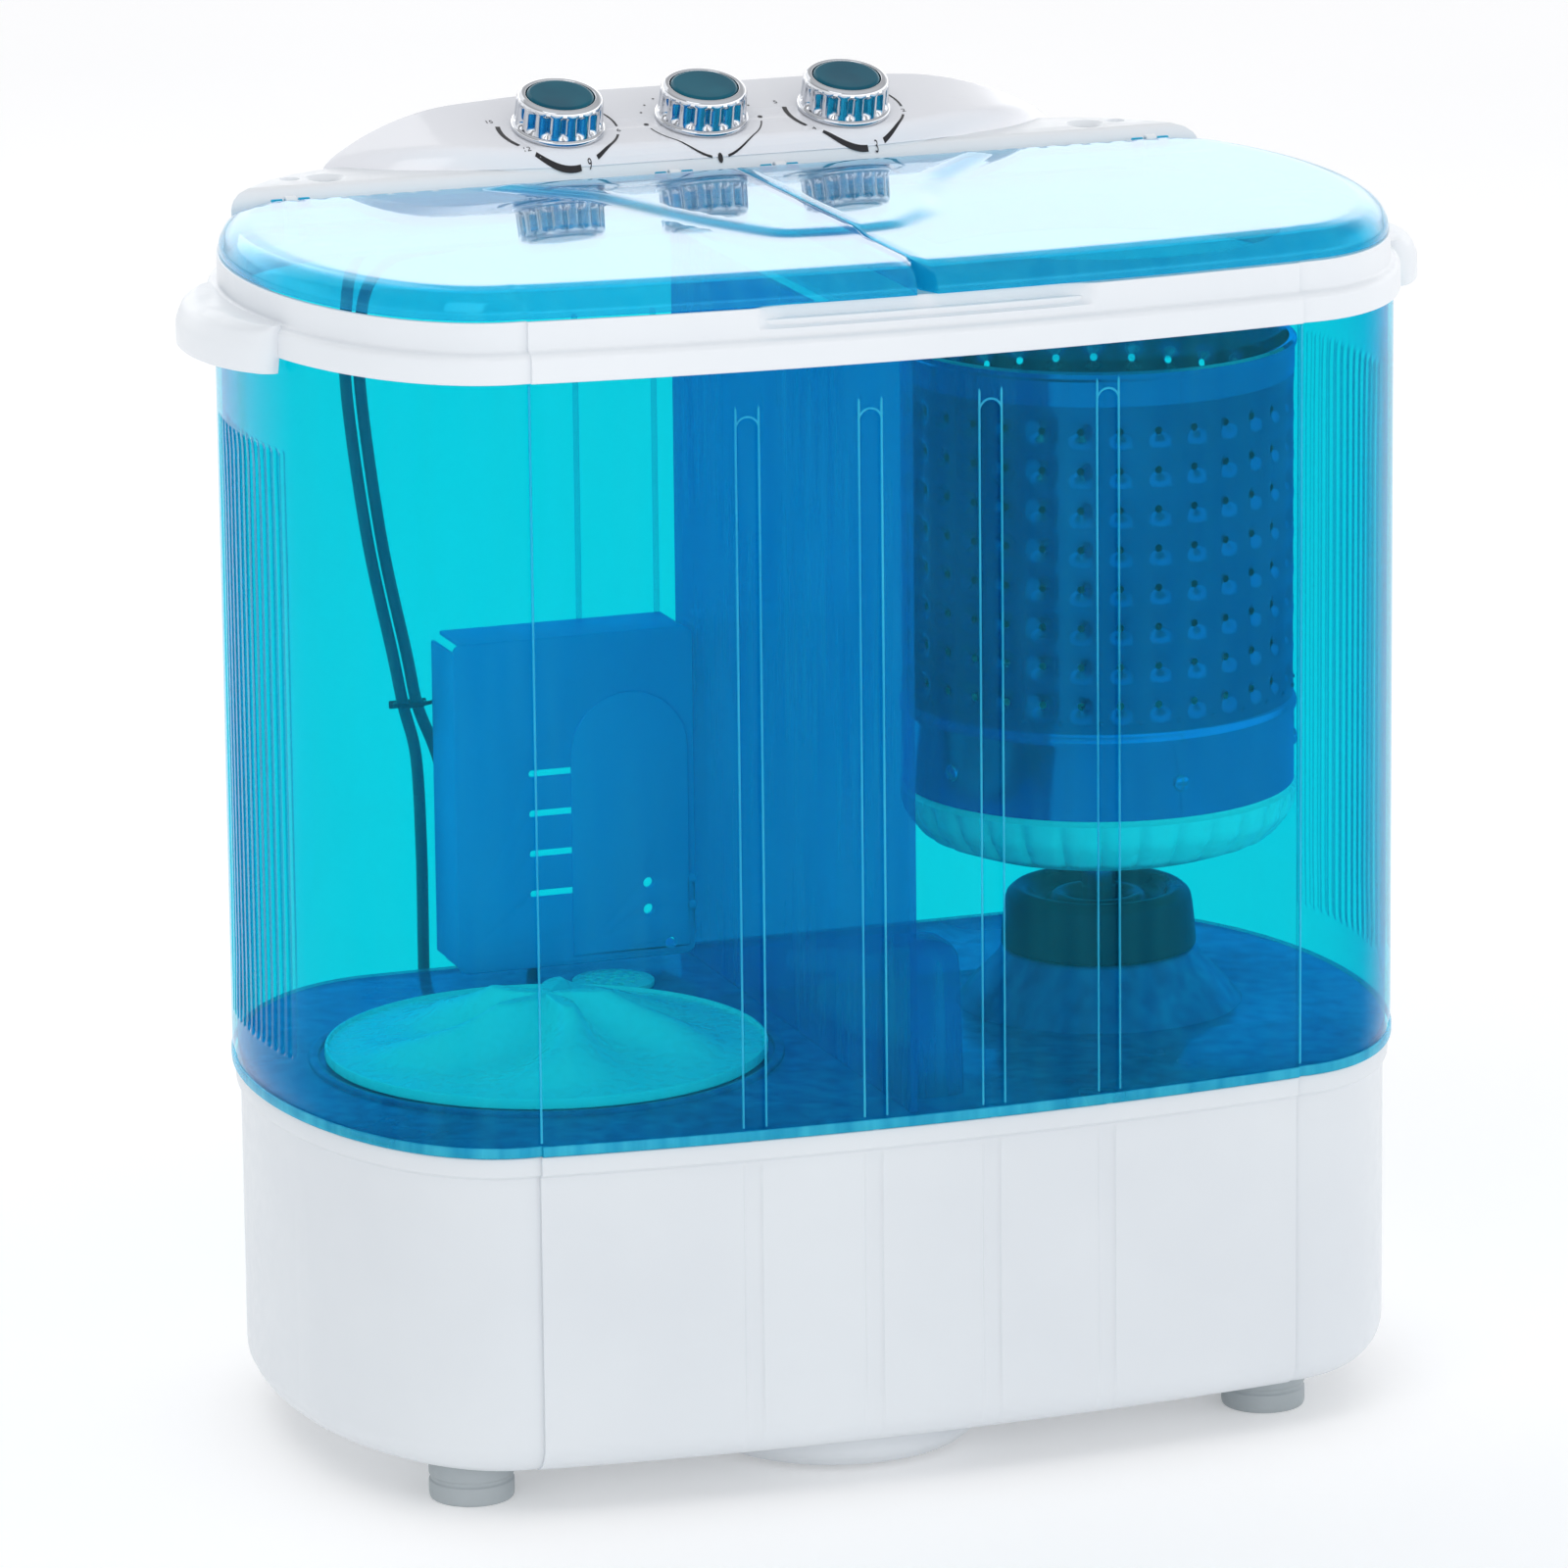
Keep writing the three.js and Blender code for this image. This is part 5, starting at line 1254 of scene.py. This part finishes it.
def make_lid(side):
    """Half of the clear cover: a flat top, a wide bevel, and a shallow sloping step across it."""
    name = "wash_lid" if side < 0 else "spin_lid"
    low, high = node_box(name)
    floor, top = low[2] + 0.1, high[2] - 0.2
    columns = []
    for x, y, nx, ny, _, _ in PLAN:
        if x * side > -1 and y < 92 and (not columns or math.dist((x, y), columns[-1][:2]) > 3):
            columns.append((x, y, nx, ny))
    columns.sort(key=lambda row: math.atan2(row[1] - 60, row[0] * side + 60))
    skin = 2.2
    profile = fillet([
        (-2.5, floor), (-2.5, 512), (-5.2, 517.6), (-9.6, 520.6), (-15.5, top - 0.1), (-18.5, top)], 2.2, 5)
    outer, inner = [], []
    for offset, level in profile:
        rounding = 0.9 * max(0.0, (level - (top - 0.8)) / 0.8) ** 2
        outer.append(lid_ring(columns, side, offset, 0.5 + rounding, 89.3 - rounding, level))
        inner.append(lid_ring(
            columns, side, min(offset, -2.5) - skin * 0.85, 0.5 + skin, 89.3 - skin, min(level, top - skin)))
    inner = [[(x, y, floor if k == 0 else z) for x, y, z in ring] for k, ring in enumerate(inner)]
    count = len(outer[0])
    rings = inner[::-1] + outer
    vertices = [p for ring in rings for p in ring]
    faces = rows_to_faces(len(rings), count)
    for ring, level in ((outer[-1], top), (inner[-1], top - skin)):
        places, triangles = lid_cap(ring, level)
        start = len(vertices)
        vertices += places
        faces += [tuple(start + k for k in triangle) for triangle in triangles]
    bent = []
    for x, y, z in vertices:
        share = min(1.0, max(0.0, (z - 511) / 7.0))
        bent.append((x, y, z + (wave_rise(x, y) - 0.9) * share))
    piece(f"{name}_shell", bent, faces, LID, body=name, slot="lid_blue", nodes=(name,), sharp=40)
    knuckles = []
    for index, x in enumerate((24, 196)):
        barrel = fillet([(1.6, -4.6), (2.2, -4.6), (2.2, 4.6), (1.6, 4.6)], 0.25, 4)
        for half, shift in ((-1, -6), (1, 6)):
            points = []
            for radius, along in barrel:
                for k in range(32):
                    turn = 2 * math.pi * k / 32
                    points.append((
                        side * x + shift + along * 0.5, 93 + radius * math.cos(turn),
                        519 + radius * math.sin(turn)))
            knuckles.append(piece(
                f"{name}_knuckle_{index}_{half}", points, rows_to_faces(len(barrel), 32, wrap_rows=True),
                LID, body=name, slot="lid_blue"))
    joined(f"{name}_knuckles", knuckles)


# ---- Wash side ----

def make_pulsator():
    """A low disc with five swirling petals round a blunt peak."""
    low, high = PULSATOR_LOW[2], PULSATOR_HIGH[2]
    radius = PULSATOR_HIGH[0] - WASH_X
    base = low + 3.2
    rise = high - 0.3 - base

    def height(reach, turn):
        share = reach / radius
        dome = rise * (0.12 * (1 - share ** 2) + 0.88 * math.exp(-((reach / 24) ** 1.7)))
        swirl = 5 * (turn + 0.75 * share)
        petal = (0.5 + 0.5 * math.cos(swirl)) ** 1.3
        window = math.exp(-(((share - 0.44) / 0.36) ** 4))
        return base + min(rise, dome + 17.0 * petal * window * (1.15 - share))

    radii = [*np.linspace(0.01, 20, 12), *np.linspace(22, radius - 5, 40), radius - 3.4, radius - 2]
    profile = [(r, None) for r in radii]
    points = []
    count = 180
    for reach, _ in profile:
        for k in range(count):
            turn = 2 * math.pi * k / count
            points.append((
                WASH_X + reach * math.cos(turn), CENTRE_Y + reach * math.sin(turn), height(reach, turn)))
    for reach, level in ((radius - 1.2, base + 1.6), (radius - 0.3, base + 1.4), (radius, base + 0.6),
                         (radius, low + 0.6), (radius - 0.8, low), (7, low), (0.01, low)):
        for k in range(count):
            turn = 2 * math.pi * k / count
            points.append((WASH_X + reach * math.cos(turn), CENTRE_Y + reach * math.sin(turn), level))
    faces = rows_to_faces(len(points) // count, count)
    piece("pulsator_disc", points, faces, INNER_WHITE, body="pulsator", slot="inner_white",
          nodes=("pulsator",), sharp=50)


# ---- Spin side ----

COLUMNS, ROWS, PITCH, TOP_ROW = 31, 8, 16.9, 429.8


def make_basket():
    """The perforated basket: a pressed steel wall with a dimple round each hole, a bead and a rolled rim."""
    low, high = BASKET_LOW[2], BASKET_HIGH[2]
    radius = (BASKET_HIGH[0] - BASKET_LOW[0]) / 2
    wall = radius - 1.1
    cell = 2 * math.pi / COLUMNS
    vertices, faces = [], []

    def dimple(gap):
        return 3.0 * math.exp(-((gap / 4.9) ** 2))

    square = [(t, -1) for t in (-1, -0.5, 0, 0.5)] + [(1, t) for t in (-1, -0.5, 0, 0.5)]
    square += [(-t, 1) for t in (-1, -0.5, 0, 0.5)] + [(-1, -t) for t in (-1, -0.5, 0, 0.5)]
    half_wide, half_tall = wall * cell / 2, PITCH / 2
    layers = (0.0, 0.12, 0.3, 0.55, 1.0)
    for row in range(ROWS):
        level = TOP_ROW - PITCH * row
        for column in range(COLUMNS):
            middle = cell * column
            start = len(vertices)
            for share in layers:
                for sx, sy in square:
                    turn = math.atan2(sy, sx)
                    round_x, round_y = 1.65 * math.cos(turn), 1.65 * math.sin(turn)
                    x = round_x * (1 - share) + sx * half_wide * share
                    y = round_y * (1 - share) + sy * half_tall * share
                    gap = math.hypot(x, y)
                    fade = 1.0 if share < 1 else 0.0
                    reach = wall - dimple(gap) * fade - (0.25 if share == 1 else 0.0)
                    angle = middle + x / wall
                    vertices.append((
                        SPIN_X + reach * math.cos(angle), CENTRE_Y + reach * math.sin(angle), level + y))
            faces += rows_to_faces(len(layers), 16, start=start)
    bottom_row = TOP_ROW - PITCH * (ROWS - 0.5)
    lower = [(wall - 0.25, bottom_row), (wall - 0.25, 300), (wall, 298.4), (wall + 1.0, 296.8),
             (wall + 1.0, 294.6), (wall, 293), (wall, 262), (wall - 0.4, low + 1), (wall - 0.6, low)]
    upper = [(wall - 0.25, TOP_ROW + PITCH / 2), (wall - 0.25, 441), (wall, 443), (wall, high - 4.4),
             (wall + 0.9, high - 3), (wall + 0.9, high - 1), (wall - 0.6, high), (wall - 2.4, high - 0.4),
             (wall - 3.0, high - 2), (wall - 2.4, high - 3.4)]
    segments = COLUMNS * 4
    for profile in (lower, upper):
        start = len(vertices)
        for reach, level in profile:
            for k in range(segments):
                turn = cell * (k / 4 - 0.5)
                vertices.append((SPIN_X + reach * math.cos(turn), CENTRE_Y + reach * math.sin(turn), level))
        faces += rows_to_faces(len(profile), segments, start=start)
    shell = piece("basket_sheet", vertices, faces, BASKET_STEEL_PAINTED_BLUE, body="spin_basket", slot="steel")
    thick = shell.modifiers.new("thickness", "SOLIDIFY")
    thick.thickness = 0.7 * MM
    thick.offset = -1
    bpy.context.view_layer.update()
    mesh = bpy.data.meshes.new_from_object(shell.evaluated_get(bpy.context.evaluated_depsgraph_get()))
    bpy.data.objects.remove(shell)
    dress(mesh, "basket_wall", BASKET_STEEL_PAINTED_BLUE, "spin_basket", "steel", ("spin_basket",))
    # The band and rim faces take the polished steel, whose lighter colour is a painted highlight.
    mesh.materials.append(BAND_STEEL_PAINTED_HIGHLIGHT)
    for face in mesh.polygons:
        face.material_index = int(face.center.z < 299.5 * MM or face.center.z > 442 * MM)
    drops = []
    for column in range(COLUMNS):
        turn = cell * (column + 0.5)
        centre = (SPIN_X + (wall + 0.1) * math.cos(turn), CENTRE_Y + (wall + 0.1) * math.sin(turn), 304.5)
        points = []
        for radius_step, out in ((0.0, 0.5), (0.6, 0.35), (1.0, 0.0), (1.0, -0.4), (0.0, -0.4)):
            for k in range(12):
                a = 2 * math.pi * k / 12
                across, up = radius_step * math.cos(a), radius_step * math.sin(a)
                points.append((
                    centre[0] + out * math.cos(turn) - across * math.sin(turn),
                    centre[1] + out * math.sin(turn) + across * math.cos(turn), centre[2] + up))
        drops.append(piece(f"drop_{column}", points, rows_to_faces(5, 12), BASKET_STEEL_PAINTED_BLUE, body="spin_basket",
                           slot="steel"))
    joined("basket_drops", drops)


def make_basket_base():
    """The moulded base: ribbed and scalloped below the steel, closing in towards the shaft."""
    low, high = node_box("basket_base")
    radius = (high[0] - low[0]) / 2

    def ribbed(reach, level, turn):
        if reach < 62 or level < 234 or level > 258:
            return reach, level
        wave = abs(math.cos(31 * turn / 2))
        fade = max(0.0, min(1.0, (258 - level) / 3, (reach - 62) / 6))
        return reach - 2.6 * (1 - wave) ** 2 * fade, level

    inside = radius - 1.9
    profile = fillet([
        (0, 232.5), (17, 232.5), (19, 228), (24, 226), (30, 233.5), (60, 234.2), (radius - 9, 240),
        (radius - 1.2, 250), (radius, 259.6)], 3, 5)
    profile += fillet([
        (radius, 259.6), (inside, 260.8), (inside, 283), (inside - 1.6, 284), (inside - 3.6, 283),
        (inside - 3.8, 264), (58, 238.5), (20, 237), (0, 237)], 1.2, 4)[1:]
    lathe("basket_foot", profile, INNER_WHITE, SPIN_X, CENTRE_Y, 372, wobble=ribbed, body="spin_basket",
          slot="inner_white", nodes=("basket_base",), sharp=45)


def make_basket_screw(index):
    node = f"basket_screw_{index}"
    low, high = node_box(node)
    x, y, level = (low + high) / 2
    turn = math.atan2(y - CENTRE_Y, x - SPIN_X)
    radius = (BASKET_HIGH[0] - BASKET_LOW[0]) / 2 - 1.1
    seat = (SPIN_X + radius * math.cos(turn), CENTRE_Y + radius * math.sin(turn), level)
    cross_screw(node + "_head", seat, (math.cos(turn), math.sin(turn), 0), 3.6, node, "spin_basket")


def make_boot():
    """The black seal between the cone and the basket: straight sided, with a dished and ringed top."""
    low, high = node_box("spin_boot")
    radius = (high[0] - low[0]) / 2
    bottom, top = low[2], high[2]
    profile = fillet([
        (radius - 2, bottom), (radius - 0.2, bottom + 0.6), (radius - 0.4, bottom + 6),
        (radius - 1.6, top - 9),
        (radius - 2.6, top - 3.6), (radius - 6.5, top - 0.2), (radius - 11.5, top - 1.6),
        (radius - 14, top - 6), (23, top - 8), (19.5, top - 3.4), (15.5, top - 3.4), (13, top - 7),
        (13, top - 10), (22, top - 10.6), (radius - 8, top - 9), (radius - 7, bottom + 6),
        (radius - 5, bottom)], 1.6, 4)
    lathe("seal_boot", profile, BLACK_RUBBER, SPIN_X, CENTRE_Y, 96, ring=True, slot="rubber",
          nodes=("spin_boot",), sharp=50)


# ---- Leads behind the tub ----

WASH_LEAD = [
    (-66, 148.2, 528.6), (-67, 153.6, 530.2), (-78, 154.6, 527), (-89, 153.7, 519), (-90, 153.4, 509),
    (-92, 153.4, 500), (-110, 153.3, 493), (-136, 153, 490), (-150, 152, 480), (-155, 150.4, 462),
    (-156, 150, 425), (-148, 150, 359), (-137.5, 150, 306), (-133, 150, 282), (-127.6, 150, 258),
    (-126, 150, 215), (-126, 150, 171), (-126, 149.6, 146), (-126, 145.5, 133.4),
    (-126, 139, 132), (-127.4, 132.8, 132)]
SPIN_LEAD = [
    (60, 148.2, 528.6), (58, 153.8, 530), (44, 156, 527), (10, 156.2, 524), (-40, 156, 522),
    (-66, 155, 521), (-76.8, 153.7, 516), (-77.8, 153.4, 505), (-79.5, 153.4, 497), (-88, 153.4, 488),
    (-108, 153.3, 483.5), (-131, 153, 481), (-143.5, 152, 471), (-148.6, 150.4, 455), (-149.6, 150, 425),
    (-141.7, 150, 359), (-131.2, 150, 306), (-126.6, 150, 282), (-119.5, 150, 263), (-112, 150, 240),
    (-97, 150, 205), (-80, 150, 175), (-72.6, 150, 155), (-72, 148.4, 140), (-72, 144, 133),
    (-72, 138, 132), (-66, 130, 133), (-48, 126, 139), (-10, 124, 146), (50, 122, 146),
    (92, 100, 132), (108, 70, 108), (114.4, 50, 96)]


def make_leads():
    tube("wash_lead_run", WASH_LEAD, 2.6, LEAD_PAINTED_HAZE, nodes=("wash_lead",))
    tube("spin_lead_run", SPIN_LEAD, 2.6, LEAD_PAINTED_HAZE, nodes=("spin_lead",))
    middle = (-129.8, 150.1, 282)
    band = []
    for k in range(25):
        turn = 2 * math.pi * k / 24
        band.append((middle[0] + 6.9 * math.cos(turn), middle[1] + 3.9 * math.sin(turn), middle[2] + 0.6))
    tie = [tube("tie_band", band[:-1] + [band[0]], 1.1, BLACK_RUBBER, 8, slot="rubber")]
    tie.append(tube("tie_tail", [
        (-123.4, 148.0, 282.6), (-119, 147.4, 283.6), (-114, 147.6, 285.4)], 0.9, BLACK_RUBBER, 8,
        slot="rubber"))
    low, high = node_box("lead_clip")
    tie.append(rounded_box("tie_block", (-138.4, 153.2, low[2] + 0.2), (-121.4, high[1] - 0.1, high[2] - 0.2),
                           0.6, BLACK_RUBBER, slot="rubber"))
    lead_tie = joined("lead_tie", tie)
    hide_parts("lead_clip")


def make_gland():
    low, high = node_box("cord_gland")
    size = high - low
    axis = int(np.argmin(size))
    centre = (low + high) / 2
    radius = float(np.max(size) / 2)
    bottom, top = low[axis], high[axis]
    profile = fillet([(0, bottom), (radius * 0.6, bottom), (radius, bottom + 1.5), (radius, top - 2),
                      (radius * 0.82, top), (radius * 0.5, top), (radius * 0.42, top - 2.5), (0, top - 2.5)],
                     0.8, 4)
    others = [k for k in range(3) if k != axis]
    points = []
    for reach, along in profile:
        for k in range(48):
            turn = 2 * math.pi * k / 48
            place = [0.0, 0.0, 0.0]
            place[axis] = along
            place[others[0]] = centre[others[0]] + reach * math.cos(turn)
            place[others[1]] = centre[others[1]] + reach * math.sin(turn)
            points.append(tuple(place))
    piece("gland", points, rows_to_faces(len(profile), 48), BLACK_RUBBER, slot="rubber",
          nodes=("cord_gland",))


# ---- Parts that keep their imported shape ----

SLOT_MATERIALS = {
    "white_shell": WHITE, "inner_white": INNER_WHITE, "panel_overlay": OVERLAY, "tub_blue": TUB,
    "lid_blue": LID, "cover_blue": COVER_BLUE, "cap_teal": CAP, "knob_chrome": CHROME,
    "steel": BRIGHT_STEEL, "cast_metal": CASTING, "motor_shell": MOTOR, "rubber": BLACK_RUBBER,
    "foot_grey": FOOT_RUBBER, "lead_sheath": LEAD_PAINTED_HAZE,
}


def dress_kept_nodes():
    """Gives every node that is still shown the finish of its slot."""
    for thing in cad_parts.values():
        if thing.hide_render:
            continue
        for holder in thing.material_slots:
            slot = holder.material.name.split(".")[0]
            holder.material = SLOT_MATERIALS[slot]


# ---- Building it all ----

make_base()
make_bottom()
for corner in ("front_left", "front_right", "rear_left", "rear_right"):
    make_foot(f"foot_{corner}")
make_gland()
make_tub_walls()
make_tub_edges()
make_tub_floor()
make_divider()
make_drain_chamber()
make_filter_cover()
make_grate()
make_rim()
make_deck()
make_grip(-1)
make_grip(1)
make_console()
make_shoulders()
for side_name in ("left", "right"):
    make_panel_screw(f"panel_screw_{side_name}")
make_overlay()
make_dials()
for kind, place in (("wash_timer", -KNOB_SPACING), ("selector", 0.0), ("spin_timer", KNOB_SPACING)):
    make_knob(kind, place)
make_lid(-1)
make_lid(1)
make_pulsator()
make_basket()
make_basket_base()
for number in range(1, 6):
    make_basket_screw(number)
make_boot()
make_leads()
dress_kept_nodes()


# ---- Camera, light and floor ----

CAMERA_PLACE = (-1337.63, -3778.70, 1243.75)
CAMERA_TURN = (19.365, 13.672, -0.614)  # to the right, down, and round the line of sight, in degrees
LENS = 221.232


def aim_camera():
    yaw, pitch, tip = (math.radians(a) for a in CAMERA_TURN)
    forward = np.array([
        math.sin(yaw) * math.cos(pitch), math.cos(yaw) * math.cos(pitch), -math.sin(pitch)])
    across = np.array([math.cos(yaw), -math.sin(yaw), 0.0])
    up = np.cross(across, forward)
    across, up = (
        math.cos(tip) * across + math.sin(tip) * up, -math.sin(tip) * across + math.cos(tip) * up)
    data = bpy.data.cameras.new("camera")
    data.sensor_width = 36
    data.lens = LENS
    data.clip_start, data.clip_end = 0.1, 400
    camera = bpy.data.objects.new("camera", data)
    bpy.context.scene.collection.objects.link(camera)
    matrix = np.eye(4)
    matrix[:3, 0], matrix[:3, 1], matrix[:3, 2] = across, up, -forward
    matrix[:3, 3] = np.array(CAMERA_PLACE) * MM
    camera.matrix_world = Matrix(matrix.tolist())
    bpy.context.scene.camera = camera


def make_floor():
    g = Graph("studio_floor")
    cloud = g.noise(0.8, 3.0)
    speckle = g.noise(60.0, 2.0)
    colour = g.blend(g.span(cloud, 0.0, 1.0), (0.93, 0.93, 0.93, 1), (0.9, 0.9, 0.905, 1))
    shader = g.node(
        "ShaderNodeBsdfPrincipled", Base_Color=colour, Roughness=g.span(speckle, 0.75, 0.9))
    shader.inputs["Specular IOR Level"].default_value = 0.15
    shader.inputs["Emission Color"].default_value = (1, 1, 1, 1)
    shader.inputs["Emission Strength"].default_value = 0.2
    g.finish(shader.outputs["BSDF"])
    work = bmesh.new()
    bmesh.ops.create_circle(work, cap_ends=True, radius=40, segments=64)
    mesh = bpy.data.meshes.new("studio_floor")
    work.to_mesh(mesh)
    work.free()
    mesh.materials.append(g.material)
    floor = bpy.data.objects.new("studio_floor", mesh)
    bpy.context.scene.collection.objects.link(floor)


def light_scene():
    world = bpy.data.worlds.new("studio")
    world.use_nodes = True
    tree = world.node_tree
    tree.nodes.clear()
    place = tree.nodes.new("ShaderNodeTexCoord")
    split = tree.nodes.new("ShaderNodeSeparateXYZ")
    tree.links.new(place.outputs["Generated"], split.inputs[0])
    ramp = tree.nodes.new("ShaderNodeValToRGB")
    ramp.color_ramp.elements[0].position = 0.0
    ramp.color_ramp.elements[0].color = (0.85, 0.85, 0.85, 1)
    ramp.color_ramp.elements[1].position = 1.0
    ramp.color_ramp.elements[1].color = (0.9, 0.92, 0.95, 1)
    for position, grey in ((0.05, 1.5), (0.12, 2.0), (0.34, 2.0), (0.46, 1.0), (0.62, 0.62), (0.85, 0.8)):
        element = ramp.color_ramp.elements.new(position)
        element.color = (grey, grey, grey * 1.01, 1)
    tree.links.new(split.outputs["Z"], ramp.inputs[0])
    others = tree.nodes.new("ShaderNodeBackground")
    side = tree.nodes.new("ShaderNodeMapRange")
    for name, number in (("From Min", -1.0), ("From Max", 0.1), ("To Min", 0.62), ("To Max", 1.0)):
        side.inputs[name].default_value = number
    tree.links.new(split.outputs["X"], side.inputs["Value"])
    dim = tree.nodes.new("ShaderNodeVectorMath")
    dim.operation = "SCALE"
    tree.links.new(ramp.outputs[0], dim.inputs[0])
    tree.links.new(side.outputs["Result"], dim.inputs["Scale"])
    tree.links.new(dim.outputs[0], others.inputs[0])
    others.inputs[1].default_value = 0.92
    seen = tree.nodes.new("ShaderNodeBackground")
    seen.inputs[0].default_value = (1, 1, 1, 1)
    path = tree.nodes.new("ShaderNodeLightPath")
    choose = tree.nodes.new("ShaderNodeMixShader")
    tree.links.new(path.outputs["Is Camera Ray"], choose.inputs[0])
    tree.links.new(others.outputs[0], choose.inputs[1])
    tree.links.new(seen.outputs[0], choose.inputs[2])
    output = tree.nodes.new("ShaderNodeOutputWorld")
    tree.links.new(choose.outputs[0], output.inputs[0])
    bpy.context.scene.world = world
    for name, place_at, size, power in (
            ("key", (-1.4, -1.5, 2.6), 1.4, 9.0), ("back", (-0.6, 2.2, 1.9), 1.8, 7.0)):
        data = bpy.data.lights.new(name, "AREA")
        data.size = size
        data.energy = power
        lamp = bpy.data.objects.new(name, data)
        bpy.context.scene.collection.objects.link(lamp)
        lamp.location = place_at
        lamp.rotation_euler = (Vector((0, 0, 0.3)) - Vector(place_at)).to_track_quat("-Z", "Y").to_euler()


aim_camera()
make_floor()
light_scene()
bpy.context.scene.view_settings.view_transform = "Standard"
bpy.context.scene.cycles.transparent_max_bounces = 24
